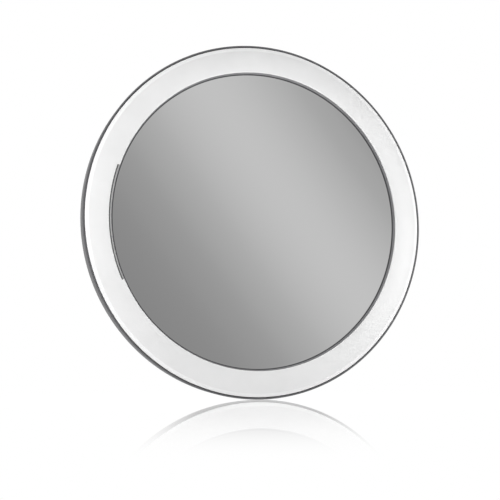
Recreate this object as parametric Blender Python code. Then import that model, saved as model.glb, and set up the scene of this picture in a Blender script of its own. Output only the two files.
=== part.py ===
"""Round magnifying mirror that three suction cups hold to a wall or a larger mirror.

The wall is the plane y = 0, the mirror faces -Y and +Z is up. A turned piece is drawn as a
profile of (radius, stand) points, where stand is the distance from the wall, and is turned
about its own Y axis. Lengths are in metres.
"""

import math

import bmesh
import bpy
from mathutils import Matrix, Vector

MM = 0.001

# Clearance between pieces that seat on each other
FIT_GAP = 0.3 * MM

# Rear housing, a moulded dish whose thin lip shows round the ring
HOUSING_RADIUS = 75.0 * MM
HOUSING_WALL = 1.8 * MM
CORNER_RADIUS = 6.0 * MM
WALL_DRAFT = math.radians(3.0)
LIP_THICKNESS = 0.7 * MM
LIP_ROUND = 0.25 * MM
REBATE_DEPTH = 2.0 * MM
SUPPORT_RIB_THICKNESS = 1.4 * MM
CATCH_LEDGE_DROP = 0.9 * MM
CATCH_LEDGE_THICKNESS = 1.0 * MM
HUB_RIB_RADIUS = 12.0 * MM
SPOKE_THICKNESS = 1.2 * MM
SPOKE_HEIGHT = 1.6 * MM
SPOKE_COUNT = 6
BUTTRESS_COUNT = 12

# Bezel ring, crowned across its face and bevelled at its outer edge, its face measured from
# the opening to the rim of the dish
FACE_WIDTH = 10.7 * MM
GLASS_LAP = 1.3 * MM
OPENING_ROUND = 0.3 * MM
CROWN_RISE = 0.5 * MM
BEVEL_WIDTH = 1.45 * MM
BEVEL_RISE = 0.6 * MM
RING_SHELL = 1.6 * MM
COVER_LIP_THICKNESS = 1.0 * MM
FOOT_THICKNESS = 1.6 * MM
LOCATING_WALL_THICKNESS = 1.2 * MM
LOCATING_WALL_LENGTH = 3.0 * MM
SKIRT_THICKNESS = 1.5 * MM
SKIRT_LENGTH = 2.2 * MM
HOOK_COUNT = 8
HOOK_WIDTH = 9.0 * MM
HOOK_INSET = 0.15 * MM
HOOK_ROOT = 1.2 * MM
BARB_HEIGHT = 1.4 * MM
CATCH_BITE = 0.55 * MM
NOTCH_WIDTH = 0.7 * MM
NOTCH_DEPTH = 0.4 * MM
NOTCH_START = math.radians(161.5)
NOTCH_END = math.radians(204.5)

# Mirror glass, slumped to a shallow concave curve
GLASS_THICKNESS = 2.3 * MM
GLASS_CURVE_RADIUS = 600.0 * MM
GLASS_CHAMFER = 0.4 * MM

# Gasket, a channel pulled over the edge of the glass
GASKET_SHOW = 0.9 * MM
GASKET_FLANGE = 0.4 * MM
GASKET_WALL = 1.1 * MM
GASKET_REAR_REACH = 1.8 * MM
GASKET_ROUND = 0.15 * MM

# Foam pads between the glass and the floor of the dish
PAD_RADIUS = 10.0 * MM
PAD_CIRCLE_RADIUS = 34.0 * MM
GLASS_STANDOFF = 1.8 * MM

# Keyholes in the back, each with a raised boss outside and a track for the pin's head inside
CUP_CIRCLE_RADIUS = 38.0 * MM
KEYHOLE_TRAVEL = 9.0 * MM
BOSS_HEIGHT = 1.2 * MM
BOSS_CHAMFER = 0.5 * MM
TRACK_MARGIN = 0.4 * MM
TRACK_WALL = 1.4 * MM
TRACK_HEIGHT = 2.2 * MM

# Cup pin, a hard moulding that links a soft cup to its keyhole
PIN_HEAD_RADIUS = 5.4 * MM
PIN_HEAD_THICKNESS = 1.8 * MM
PIN_HEAD_CHAMFER = 0.4 * MM
PIN_WAIST_RADIUS = 2.6 * MM
PIN_FLANGE_RADIUS = 6.6 * MM
PIN_FLANGE_THICKNESS = 1.2 * MM
PIN_FLANGE_CHAMFER = 0.3 * MM
PIN_STEM_RADIUS = 1.8 * MM
PIN_BARB_RADIUS = 2.6 * MM
PIN_BARB_LENGTH = 1.7 * MM
PIN_TIP_RADIUS = 1.1 * MM

# Suction cup
CUP_RADIUS = 21.0 * MM
CUP_RIM_WIDTH = 1.2 * MM
CUP_RIM_THICKNESS = 1.2 * MM
CUP_RIM_ROUND = 0.25 * MM
CUP_HOLLOW_DEPTH = 6.5 * MM
CUP_CROWN_THICKNESS = 3.4 * MM
CUP_FLOOR_THICKNESS = 1.6 * MM
CUP_NECK_RADIUS = 4.7 * MM
CUP_NECK_LENGTH = 3.4 * MM
CUP_BEAD_RADIUS = 6.1 * MM
CUP_BEAD_HEIGHT = 2.0 * MM
CUP_BEAD_CHAMFER = 0.5 * MM
TAB_WIDTH = 9.0 * MM
TAB_REACH = 6.0 * MM
TAB_THICKNESS = 0.8 * MM
TAB_LIFT = 0.2 * MM
TAB_RIDGE_HEIGHT = 0.5 * MM
TAB_RIDGE_WIDTH = 0.7 * MM
TAB_RIDGE_PITCH = 1.6 * MM
TAB_RIDGE_COUNT = 2

# How far a cutting shape runs past the surface that it cuts
OVERRUN = 1.0 * MM

# Steps round a full turn, and along the smaller curves
LARGE_STEPS = 60
CUP_STEPS = 24
PIN_STEPS = 16
PAD_STEPS = 16
CORNER_STEPS = 5
CROWN_STEPS = 4
NOTCH_STEPS = 10
KEYHOLE_STEPS = 8
TAB_STEPS = 8
HOOK_STEPS = 2
ROUND_STEPS = 2

# Depth to which a joined rib or boss is rooted, as a share of the wall that carries it
ROOT_SHARE = 0.6

# Share of the clearance within which a turned point counts as lying on the axis
AXIS_SHARE = 0.01

# Radii of the rings across the glass, as shares of its ground radius
GLASS_RING_SHARES = (0.0, 0.3, 0.6, 0.85, 1.0)

# Radii across a cup's hollow, as shares of the rim's inner radius, and places along its
# bell, as shares of the way from the rim to the neck
CUP_HOLLOW_SHARES = (0.0, 0.25, 0.5, 0.75)
CUP_BELL_SHARES = (0.0, 0.2, 0.4, 0.6, 0.8, 1.0)

# How far the bell's shoulder is drawn in, where 1 is a plain cosine
BELL_POWER = 1.6

# Length of a tab's ridge as a share of the tab's width
RIDGE_SHARE = 0.7

# Angles of the three cups as the user sees them, anticlockwise from +X
CUP_ANGLES = {
    "top": math.radians(90.0),
    "left": math.radians(210.0),
    "right": math.radians(330.0),
}
PAD_ANGLES = {
    "upper_right": math.radians(30.0),
    "upper_left": math.radians(150.0),
    "bottom": math.radians(270.0),
}

# Radii inwards from the dish's rim: the ring fits the dish and laps over the glass
RING_RADIUS = HOUSING_RADIUS - LIP_THICKNESS - FIT_GAP
BEVEL_RADIUS = RING_RADIUS - BEVEL_WIDTH
OPENING_RADIUS = RING_RADIUS - FACE_WIDTH
GLASS_RADIUS = OPENING_RADIUS + GLASS_LAP
GASKET_OUTER_RADIUS = GLASS_RADIUS + FIT_GAP + GASKET_WALL
GASKET_INNER_RADIUS = OPENING_RADIUS - GASKET_SHOW
LOCATING_WALL_RADIUS = GASKET_OUTER_RADIUS + FIT_GAP
RIB_OUTER_RADIUS = GLASS_RADIUS + 0.5 * SUPPORT_RIB_THICKNESS
RIB_INNER_RADIUS = RIB_OUTER_RADIUS - SUPPORT_RIB_THICKNESS

# Stack from the wall towards the user
CUP_BELL_TOP = CUP_HOLLOW_DEPTH + CUP_CROWN_THICKNESS
CUP_TOP = CUP_BELL_TOP + CUP_NECK_LENGTH + CUP_BEAD_HEIGHT
PIN_FLANGE_BASE = CUP_TOP + FIT_GAP
PIN_FLANGE_TOP = PIN_FLANGE_BASE + PIN_FLANGE_THICKNESS
BOSS_FACE = PIN_FLANGE_TOP + FIT_GAP
BACK_FACE = BOSS_FACE + BOSS_HEIGHT
FLOOR_FACE = BACK_FACE + HOUSING_WALL
PIN_HEAD_BASE = FLOOR_FACE + FIT_GAP
PIN_HEAD_TOP = PIN_HEAD_BASE + PIN_HEAD_THICKNESS
PAD_BASE = FLOOR_FACE + FIT_GAP
GLASS_BACK_CENTRE = FLOOR_FACE + GLASS_STANDOFF + 2.0 * FIT_GAP
GLASS_FRONT_CENTRE = GLASS_BACK_CENTRE + GLASS_THICKNESS


def bowl_depth(curve_radius, radius):
    """Depth of a spherical bowl between its middle and the given radius."""
    return curve_radius - math.sqrt(curve_radius**2 - radius**2)


GLASS_FRONT_EDGE = GLASS_FRONT_CENTRE + bowl_depth(GLASS_CURVE_RADIUS, GLASS_RADIUS)
GLASS_BACK_EDGE = GLASS_BACK_CENTRE + bowl_depth(
    GLASS_CURVE_RADIUS + GLASS_THICKNESS, GLASS_RADIUS
)
GASKET_FRONT_INNER = GLASS_FRONT_EDGE + FIT_GAP
GASKET_FRONT = GASKET_FRONT_INNER + GASKET_FLANGE
GASKET_REAR_INNER = GLASS_BACK_EDGE - FIT_GAP
GASKET_REAR = GASKET_REAR_INNER - GASKET_FLANGE
COVER_LIP_UNDERSIDE = GASKET_FRONT + FIT_GAP
RING_EDGE = COVER_LIP_UNDERSIDE + COVER_LIP_THICKNESS
LIP_FRONT = RING_EDGE - BEVEL_RISE
SHOULDER = LIP_FRONT - REBATE_DEPTH

# Keyholes, their bosses and the cups' bores, each fitted round the pin
KEYHOLE_SLOT_HALF = PIN_WAIST_RADIUS + FIT_GAP
KEYHOLE_ENTRY_RADIUS = PIN_HEAD_RADIUS + FIT_GAP
TRACK_HALF = KEYHOLE_ENTRY_RADIUS + TRACK_MARGIN
BOSS_HALF = TRACK_HALF + TRACK_WALL
CUP_BORE_RADIUS = PIN_STEM_RADIUS + FIT_GAP
CUP_POCKET_RADIUS = PIN_BARB_RADIUS + FIT_GAP
CUP_RIM_INNER_RADIUS = CUP_RADIUS - CUP_RIM_WIDTH

# Dish corner, whose inside round is limited by the wall
CORNER_STAND = BACK_FACE + CORNER_RADIUS
INSIDE_CORNER = max(CORNER_RADIUS - HOUSING_WALL, FIT_GAP)


def skin_radius(stand):
    """Radius of the drafted outer wall at a stand."""
    return HOUSING_RADIUS - (LIP_FRONT - stand) * math.tan(WALL_DRAFT)


def inside_radius(stand):
    """Radius of the wall's inner face at a stand."""
    return skin_radius(stand) - HOUSING_WALL


def crown_stand(radius):
    """Stand of the ring's crowned face, highest midway between its opening and its bevel."""
    middle = 0.5 * (BEVEL_RADIUS + OPENING_RADIUS)
    share = (radius - middle) / (BEVEL_RADIUS - middle)
    return RING_EDGE + CROWN_RISE * (1.0 - share**2)


CORNER_CENTRE_RADIUS = skin_radius(CORNER_STAND) - CORNER_RADIUS

# Snap catch: hooks on the ring's skirt spring out under a ledge inside the dish
LEDGE_TOP = SHOULDER - CATCH_LEDGE_DROP
LEDGE_BASE = LEDGE_TOP - CATCH_LEDGE_THICKNESS
BARB_TOP = LEDGE_BASE - FIT_GAP
BARB_BASE = BARB_TOP - BARB_HEIGHT
BARB_RADIUS = inside_radius(BARB_BASE) - FIT_GAP
LEDGE_RADIUS = BARB_RADIUS - CATCH_BITE
SKIRT_OUTER_RADIUS = LEDGE_RADIUS - FIT_GAP
SKIRT_INNER_RADIUS = SKIRT_OUTER_RADIUS - SKIRT_THICKNESS
SKIRT_ROOT = crown_stand(SKIRT_OUTER_RADIUS) - RING_SHELL
SKIRT_BASE = SKIRT_ROOT - SKIRT_LENGTH

# Colours as linear RGB, with roughness and metallic
MATERIALS = {
    "opal_acrylic": ((0.88, 0.88, 0.88), 0.25, 0.0),
    "grey_housing": ((0.16, 0.16, 0.165), 0.45, 0.0),
    "silvered_glass": ((0.78, 0.78, 0.78), 0.03, 1.0),
    "gasket_rubber": ((0.09, 0.09, 0.092), 0.5, 0.0),
    "foam": ((0.75, 0.75, 0.72), 0.95, 0.0),
    "pin_nylon": ((0.82, 0.82, 0.80), 0.35, 0.0),
    "clear_vinyl": ((0.70, 0.74, 0.76), 0.15, 0.0),
}


def clear_scene():
    """Remove every object that the file opened with."""
    for obj in list(bpy.data.objects):
        bpy.data.objects.remove(obj)


def material(name):
    """The named material, made the first time that it is asked for."""
    found = bpy.data.materials.get(name)
    if found:
        return found
    color, roughness, metallic = MATERIALS[name]
    made = bpy.data.materials.new(name)
    made.use_nodes = True
    shader = made.node_tree.nodes["Principled BSDF"]
    shader.inputs["Base Color"].default_value = (*color, 1.0)
    shader.inputs["Roughness"].default_value = roughness
    shader.inputs["Metallic"].default_value = metallic
    return made


def add_object(name, mesh_data, parent=None, location=(0.0, 0.0, 0.0)):
    """Link a new object for the mesh, placed under its parent."""
    obj = bpy.data.objects.new(name, mesh_data)
    bpy.context.scene.collection.objects.link(obj)
    obj.parent = parent
    obj.location = location
    return obj


def finish_mesh(name, bm, sharp_angle=math.radians(35.0)):
    """Turn a bmesh into a mesh with its faces outward and its round faces smooth."""
    bmesh.ops.recalc_face_normals(bm, faces=bm.faces)
    mesh = bpy.data.meshes.new(name)
    bm.to_mesh(mesh)
    bm.free()
    mesh.shade_smooth()
    mesh.set_sharp_from_angle(angle=sharp_angle)
    return mesh


def profile_point(radius, stand):
    """A profile point in the plane of +X, before it is turned about Y."""
    return Vector((radius, -stand, 0.0))


def turned_mesh(name, profile, steps, closed):
    """Turn a profile a full turn about Y.

    A closed profile gives a ring. An open one starts and ends on the axis.
    """
    bm = bmesh.new()
    verts = [bm.verts.new(profile_point(*point)) for point in profile]
    pairs = list(zip(verts, verts[1:]))
    if closed:
        pairs.append((verts[-1], verts[0]))
    edges = [bm.edges.new(pair) for pair in pairs]
    bmesh.ops.spin(
        bm,
        geom=verts + edges,
        axis=(0.0, 1.0, 0.0),
        angle=math.tau,
        steps=steps,
        use_merge=True,
    )
    on_axis = [v for v in bm.verts if math.hypot(v.co.x, v.co.z) < FIT_GAP * AXIS_SHARE]
    bmesh.ops.remove_doubles(bm, verts=on_axis, dist=FIT_GAP * AXIS_SHARE)
    return finish_mesh(name, bm)


def add_loft(bm, loops):
    """Add a closed solid through loops of equally many points, capped at both ends."""
    rings = [[bm.verts.new(point) for point in loop] for loop in loops]
    bm.faces.new(rings[0])
    bm.faces.new(list(reversed(rings[-1])))
    for low, high in zip(rings, rings[1:]):
        bridge(bm, low, high)


def bridge(bm, low, high):
    """Join two closed rings of vertices with faces."""
    for i in range(len(low)):
        j = (i + 1) % len(low)
        bm.faces.new((low[i], high[i], high[j], low[j]))


def add_sector(bm, profile, start, end, steps):
    """Add a closed solid, the profile swept from one angle to another about Y."""
    loops = []
    for i in range(steps + 1):
        angle = start + (end - start) * i / steps
        turn = Matrix.Rotation(-angle, 4, "Y")
        loops.append([turn @ profile_point(*point) for point in profile])
    add_loft(bm, loops)


def add_prism(bm, levels):
    """Add a closed solid through outlines of equal length, each an (outline, stand) pair."""
    add_loft(bm, [[(x, -stand, z) for x, z in outline] for outline, stand in levels])


def add_curb(bm, outer, inner, low, high):
    """Add a wall that stands between two outlines, open in its middle."""
    corners = [(outer, low), (outer, high), (inner, high), (inner, low)]
    rings = []
    for outline, stand in corners:
        rings.append([bm.verts.new((x, -stand, z)) for x, z in outline])
    for near, far in zip(rings, rings[1:] + rings[:1]):
        bridge(bm, near, far)


def add_bar(bm, angle, reach, half_width, low, high):
    """Add a straight rib along a radius, reach being its inner and outer radius."""
    along = Vector((math.cos(angle), math.sin(angle)))
    across = Vector((-math.sin(angle), math.cos(angle))) * half_width
    inner, outer = along * reach[0], along * reach[1]
    outline = [inner - across, outer - across, outer + across, inner + across]
    add_prism(bm, [(outline, low), (outline, high)])


def add_web(bm, angle, outline, half_width):
    """Add a flat rib along a radius, its outline given as (radius, stand) points."""
    turn = Matrix.Rotation(-angle, 4, "Y")
    loops = []
    for side in (-half_width, half_width):
        offset = Vector((0.0, 0.0, side))
        loops.append([turn @ (profile_point(*point) + offset) for point in outline])
    add_loft(bm, loops)


def helper(name, bm):
    """A cutter or a shape to be joined, which is no part of the model by itself."""
    obj = add_object(name, finish_mesh(name, bm))
    obj.hide_render = True
    obj.display_type = "WIRE"
    return obj


def boolean(obj, other, operation):
    """Cut the helper from the object, or join it to the object."""
    modifier = obj.modifiers.new(other.name, "BOOLEAN")
    modifier.operation = operation
    modifier.object = other
    modifier.solver = "EXACT"


def arc(centre, radius, start, end, count):
    """Points of an arc in profile coordinates, both ends included."""
    points = []
    for i in range(count + 1):
        angle = start + (end - start) * i / count
        points.append(
            (centre[0] + radius * math.cos(angle), centre[1] + radius * math.sin(angle))
        )
    return points


def stadium(half_width, travel, steps):
    """Outline of a slot with round ends, from its locked end at the origin down by travel."""
    upper = arc((0.0, 0.0), half_width, 0.0, math.pi, steps)
    lower = arc((0.0, -travel), half_width, math.pi, math.tau, steps)
    return upper + lower


def keyhole(slot_half, entry_radius, travel, steps):
    """Outline of a keyhole: a slot that opens downwards into a round entry."""
    meet = math.asin(slot_half / entry_radius)
    upper = arc((0.0, 0.0), slot_half, 0.0, math.pi, steps)
    first = 0.5 * math.pi + meet
    entry = arc((0.0, -travel), entry_radius, first, first + math.tau - 2 * meet, 2 * steps)
    return upper + entry


def shifted(outline, place):
    """The outline moved to a place on the back."""
    return [(x + place[0], z + place[1]) for x, z in outline]


def cup_place(angle):
    """(x, z) of the pin at a cup angle, in the locked end of its keyhole."""
    return (
        CUP_CIRCLE_RADIUS * math.cos(angle),
        CUP_CIRCLE_RADIUS * math.sin(angle),
    )


def housing_profile():
    """Dish from the middle of its back, round the outside and back along the inside."""
    outer = arc(
        (CORNER_CENTRE_RADIUS, CORNER_STAND),
        CORNER_RADIUS,
        -0.5 * math.pi,
        0.0,
        CORNER_STEPS,
    )
    lip = arc(
        (HOUSING_RADIUS - LIP_ROUND, LIP_FRONT - LIP_ROUND),
        LIP_ROUND,
        0.0,
        0.5 * math.pi,
        ROUND_STEPS,
    )
    rebate = [
        (HOUSING_RADIUS - LIP_THICKNESS, LIP_FRONT),
        (HOUSING_RADIUS - LIP_THICKNESS, SHOULDER),
        (inside_radius(SHOULDER), SHOULDER),
    ]
    ledge = [
        (inside_radius(LEDGE_TOP), LEDGE_TOP),
        (LEDGE_RADIUS, LEDGE_TOP),
        (LEDGE_RADIUS, LEDGE_BASE),
        (inside_radius(LEDGE_BASE), LEDGE_BASE),
    ]
    inside = arc(
        (inside_radius(FLOOR_FACE + INSIDE_CORNER) - INSIDE_CORNER, FLOOR_FACE + INSIDE_CORNER),
        INSIDE_CORNER,
        0.0,
        -0.5 * math.pi,
        CORNER_STEPS,
    )
    rib_top = GASKET_REAR - FIT_GAP
    rib = [
        (RIB_OUTER_RADIUS, FLOOR_FACE),
        (RIB_OUTER_RADIUS, rib_top),
        (RIB_INNER_RADIUS, rib_top),
        (RIB_INNER_RADIUS, FLOOR_FACE),
    ]
    hub_top = FLOOR_FACE + SPOKE_HEIGHT
    hub = [
        (HUB_RIB_RADIUS, FLOOR_FACE),
        (HUB_RIB_RADIUS, hub_top),
        (HUB_RIB_RADIUS - SPOKE_THICKNESS, hub_top),
        (HUB_RIB_RADIUS - SPOKE_THICKNESS, FLOOR_FACE),
    ]
    start, end = [(0.0, BACK_FACE)], [(0.0, FLOOR_FACE)]
    return start + outer + lip + rebate + ledge + inside + rib + hub + end


def buttress_outline():
    """Buttress from the glass rib to the wall, rooted in the floor, the corner and the wall."""
    depth = ROOT_SHARE * HOUSING_WALL
    bend = (INSIDE_CORNER + depth) * math.sin(0.25 * math.pi)
    inner = RIB_OUTER_RADIUS - 0.5 * SPOKE_THICKNESS
    top = BARB_BASE - FIT_GAP
    return [
        (inner, FLOOR_FACE - depth),
        (CORNER_CENTRE_RADIUS, FLOOR_FACE - depth),
        (CORNER_CENTRE_RADIUS + bend, CORNER_STAND - bend),
        (inside_radius(top) + depth, top),
        (inner, top),
    ]


def housing_ribs():
    """Spokes across the floor, and buttresses between the glass rib and the wall."""
    ribs = bmesh.new()
    root = FLOOR_FACE - ROOT_SHARE * HOUSING_WALL
    half = 0.5 * SPOKE_THICKNESS
    spoke = (HUB_RIB_RADIUS - half, RIB_INNER_RADIUS + half)
    for i in range(SPOKE_COUNT):
        angle = math.tau * i / SPOKE_COUNT
        add_bar(ribs, angle, spoke, half, root, FLOOR_FACE + SPOKE_HEIGHT)
    for i in range(BUTTRESS_COUNT):
        angle = math.tau * (i + 0.5) / BUTTRESS_COUNT
        add_web(ribs, angle, buttress_outline(), half)
    return helper("housing_ribs", ribs)


def keyhole_helpers():
    """Bosses and head tracks to join to the dish, and the keyholes cut through them."""
    bosses, tracks, slots = bmesh.new(), bmesh.new(), bmesh.new()
    boss = stadium(BOSS_HALF, KEYHOLE_TRAVEL, KEYHOLE_STEPS)
    boss_edge = stadium(BOSS_HALF - BOSS_CHAMFER, KEYHOLE_TRAVEL, KEYHOLE_STEPS)
    track = stadium(TRACK_HALF, KEYHOLE_TRAVEL, KEYHOLE_STEPS)
    slot = keyhole(KEYHOLE_SLOT_HALF, KEYHOLE_ENTRY_RADIUS, KEYHOLE_TRAVEL, KEYHOLE_STEPS)
    root = ROOT_SHARE * HOUSING_WALL
    for angle in CUP_ANGLES.values():
        place = cup_place(angle)
        add_prism(
            bosses,
            [
                (shifted(boss_edge, place), BOSS_FACE),
                (shifted(boss, place), BOSS_FACE + BOSS_CHAMFER),
                (shifted(boss, place), BACK_FACE + root),
            ],
        )
        add_curb(
            tracks,
            shifted(boss, place),
            shifted(track, place),
            FLOOR_FACE - root,
            FLOOR_FACE + TRACK_HEIGHT,
        )
        add_prism(
            slots,
            [
                (shifted(slot, place), BOSS_FACE - OVERRUN),
                (shifted(slot, place), FLOOR_FACE + OVERRUN),
            ],
        )
    return (
        helper("keyhole_bosses", bosses),
        helper("head_tracks", tracks),
        helper("keyhole_slots", slots),
    )


def build_housing(head):
    """Moulded dish with a catch ledge, a rib under the glass and three keyholes."""
    mesh = turned_mesh("rear_housing", housing_profile(), LARGE_STEPS, closed=False)
    housing = add_object("rear_housing", mesh, head)
    mesh.materials.append(material("grey_housing"))
    bosses, tracks, slots = keyhole_helpers()
    boolean(housing, housing_ribs(), "UNION")
    boolean(housing, bosses, "UNION")
    boolean(housing, tracks, "UNION")
    boolean(housing, slots, "DIFFERENCE")


def ring_profile():
    """Section of the ring, round its crowned face and back along its hidden side."""
    opening = arc(
        (OPENING_RADIUS + OPENING_ROUND, RING_EDGE - OPENING_ROUND),
        OPENING_ROUND,
        math.pi,
        0.5 * math.pi,
        ROUND_STEPS,
    )
    crown = []
    for i in range(1, CROWN_STEPS + 1):
        span = BEVEL_RADIUS - OPENING_RADIUS - OPENING_ROUND
        radius = OPENING_RADIUS + OPENING_ROUND + span * i / CROWN_STEPS
        crown.append((radius, crown_stand(radius)))
    foot_inner = RING_RADIUS - FOOT_THICKNESS
    foot_base = SHOULDER + FIT_GAP
    wall_outer = LOCATING_WALL_RADIUS + LOCATING_WALL_THICKNESS
    wall_base = COVER_LIP_UNDERSIDE - LOCATING_WALL_LENGTH
    hidden = [
        (RING_RADIUS, LIP_FRONT),
        (RING_RADIUS, foot_base),
        (foot_inner, foot_base),
        (foot_inner, crown_stand(foot_inner) - RING_SHELL),
        (SKIRT_OUTER_RADIUS, SKIRT_ROOT),
        (SKIRT_OUTER_RADIUS, SKIRT_BASE),
        (SKIRT_INNER_RADIUS, SKIRT_BASE),
        (SKIRT_INNER_RADIUS, crown_stand(SKIRT_INNER_RADIUS) - RING_SHELL),
        (wall_outer, crown_stand(wall_outer) - RING_SHELL),
        (wall_outer, wall_base),
        (LOCATING_WALL_RADIUS, wall_base),
        (LOCATING_WALL_RADIUS, COVER_LIP_UNDERSIDE),
        (OPENING_RADIUS, COVER_LIP_UNDERSIDE),
    ]
    return opening + crown + hidden


def build_ring(head):
    """Bezel ring with snap hooks on its skirt and a finger notch at its left."""
    mesh = turned_mesh("bezel_ring", ring_profile(), LARGE_STEPS, closed=True)
    ring = add_object("bezel_ring", mesh, head)
    mesh.materials.append(material("opal_acrylic"))

    tongue_inner = SKIRT_INNER_RADIUS + HOOK_INSET
    tongue_outer = SKIRT_OUTER_RADIUS - HOOK_INSET
    tongue = [
        (tongue_inner, SKIRT_BASE + HOOK_ROOT),
        (tongue_outer, SKIRT_BASE + HOOK_ROOT),
        (tongue_outer, BARB_TOP),
        (BARB_RADIUS, BARB_TOP),
        (tongue_outer, BARB_BASE),
        (tongue_inner, BARB_BASE),
    ]
    hooks = bmesh.new()
    half = 0.5 * HOOK_WIDTH / SKIRT_OUTER_RADIUS
    for i in range(HOOK_COUNT):
        middle = math.tau * (i + 0.5) / HOOK_COUNT
        add_sector(hooks, tongue, middle - half, middle + half, HOOK_STEPS)
    boolean(ring, helper("snap_hooks", hooks), "UNION")

    notch_radius = OPENING_RADIUS + NOTCH_WIDTH
    notch_floor = RING_EDGE - NOTCH_DEPTH
    notch_top = RING_EDGE + CROWN_RISE + OVERRUN
    notch_section = [
        (OPENING_RADIUS - OVERRUN, notch_floor),
        (notch_radius, notch_floor),
        (notch_radius, notch_top),
        (OPENING_RADIUS - OVERRUN, notch_top),
    ]
    notch = bmesh.new()
    add_sector(notch, notch_section, NOTCH_START, NOTCH_END, NOTCH_STEPS)
    boolean(ring, helper("finger_notch", notch), "DIFFERENCE")


def build_glass(head):
    """Concave mirror glass with a small chamfer ground round both edges."""
    rim = GLASS_RADIUS - GLASS_CHAMFER
    back_curve = GLASS_CURVE_RADIUS + GLASS_THICKNESS
    front = []
    back = []
    for share in GLASS_RING_SHARES:
        radius = rim * share
        front.append((radius, GLASS_FRONT_CENTRE + bowl_depth(GLASS_CURVE_RADIUS, radius)))
        back.append((radius, GLASS_BACK_CENTRE + bowl_depth(back_curve, radius)))
    edge = [
        (GLASS_RADIUS, GLASS_FRONT_EDGE - GLASS_CHAMFER),
        (GLASS_RADIUS, GLASS_BACK_EDGE + GLASS_CHAMFER),
    ]
    profile = front + edge + list(reversed(back))
    mesh = turned_mesh("mirror_glass", profile, LARGE_STEPS, closed=False)
    mesh.materials.append(material("silvered_glass"))
    add_object("mirror_glass", mesh, head)


def build_gasket(head):
    """Channel round the glass, whose front flange shows as the dark line inside the ring."""
    channel_radius = GLASS_RADIUS + FIT_GAP
    rear_radius = GLASS_RADIUS - GASKET_REAR_REACH
    profile = [
        (GASKET_INNER_RADIUS, GASKET_FRONT_INNER),
        (GASKET_INNER_RADIUS, GASKET_FRONT - GASKET_ROUND),
        (GASKET_INNER_RADIUS + GASKET_ROUND, GASKET_FRONT),
        (GASKET_OUTER_RADIUS - GASKET_ROUND, GASKET_FRONT),
        (GASKET_OUTER_RADIUS, GASKET_FRONT - GASKET_ROUND),
        (GASKET_OUTER_RADIUS, GASKET_REAR),
        (rear_radius, GASKET_REAR),
        (rear_radius, GASKET_REAR_INNER),
        (channel_radius, GASKET_REAR_INNER),
        (channel_radius, GASKET_FRONT_INNER),
    ]
    mesh = turned_mesh("glass_gasket", profile, LARGE_STEPS, closed=True)
    mesh.materials.append(material("gasket_rubber"))
    add_object("glass_gasket", mesh, head)


def glass_back_stand(x, z):
    """Stand of the back of the glass at a place."""
    curve = GLASS_CURVE_RADIUS + GLASS_THICKNESS
    return GLASS_BACK_CENTRE + bowl_depth(curve, math.hypot(x, z))


def build_pads(head):
    """Foam discs cut to the gap between the floor of the dish and the curved glass."""
    for side, angle in PAD_ANGLES.items():
        centre = Vector((math.cos(angle), math.sin(angle))) * PAD_CIRCLE_RADIUS
        outline = arc(centre, PAD_RADIUS, 0.0, math.tau * (1.0 - 1.0 / PAD_STEPS), PAD_STEPS - 1)
        bm = bmesh.new()
        base = [bm.verts.new((x, -PAD_BASE, z)) for x, z in outline]
        top = []
        for x, z in outline:
            top.append(bm.verts.new((x, FIT_GAP - glass_back_stand(x, z), z)))
        bm.faces.new(base)
        bridge(bm, base, top)
        middle = bm.verts.new((centre[0], FIT_GAP - glass_back_stand(*centre), centre[1]))
        for i in range(PAD_STEPS):
            bm.faces.new((top[i], top[(i + 1) % PAD_STEPS], middle))
        mesh = finish_mesh("foam_pad_" + side, bm)
        mesh.materials.append(material("foam"))
        add_object("foam_pad_" + side, mesh, head)


def pin_profile():
    """Pin from its barbed tip in the cup to its head inside the dish."""
    tip = CUP_HOLLOW_DEPTH + CUP_FLOOR_THICKNESS + FIT_GAP
    shoulder = tip + PIN_BARB_LENGTH
    return [
        (0.0, tip),
        (PIN_TIP_RADIUS, tip),
        (PIN_BARB_RADIUS, shoulder),
        (PIN_STEM_RADIUS, shoulder),
        (PIN_STEM_RADIUS, PIN_FLANGE_BASE),
        (PIN_FLANGE_RADIUS, PIN_FLANGE_BASE),
        (PIN_FLANGE_RADIUS, PIN_FLANGE_TOP - PIN_FLANGE_CHAMFER),
        (PIN_FLANGE_RADIUS - PIN_FLANGE_CHAMFER, PIN_FLANGE_TOP),
        (PIN_WAIST_RADIUS, PIN_FLANGE_TOP),
        (PIN_WAIST_RADIUS, PIN_HEAD_BASE),
        (PIN_HEAD_RADIUS, PIN_HEAD_BASE),
        (PIN_HEAD_RADIUS, PIN_HEAD_TOP - PIN_HEAD_CHAMFER),
        (PIN_HEAD_RADIUS - PIN_HEAD_CHAMFER, PIN_HEAD_TOP),
        (0.0, PIN_HEAD_TOP),
    ]


def hollow_stand(radius):
    """Stand of the cup's hollow face, which meets the wall at the inside of the rim."""
    return CUP_HOLLOW_DEPTH * math.cos(0.5 * math.pi * radius / CUP_RIM_INNER_RADIUS)


def bell_stand(radius):
    """Stand of the cup's outer face, thick at the neck and thin at the rim."""
    share = (radius - CUP_NECK_RADIUS) / (CUP_RADIUS - CUP_NECK_RADIUS)
    droop = math.cos(0.5 * math.pi * share) ** BELL_POWER
    return CUP_RIM_THICKNESS + (CUP_BELL_TOP - CUP_RIM_THICKNESS) * droop


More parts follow.
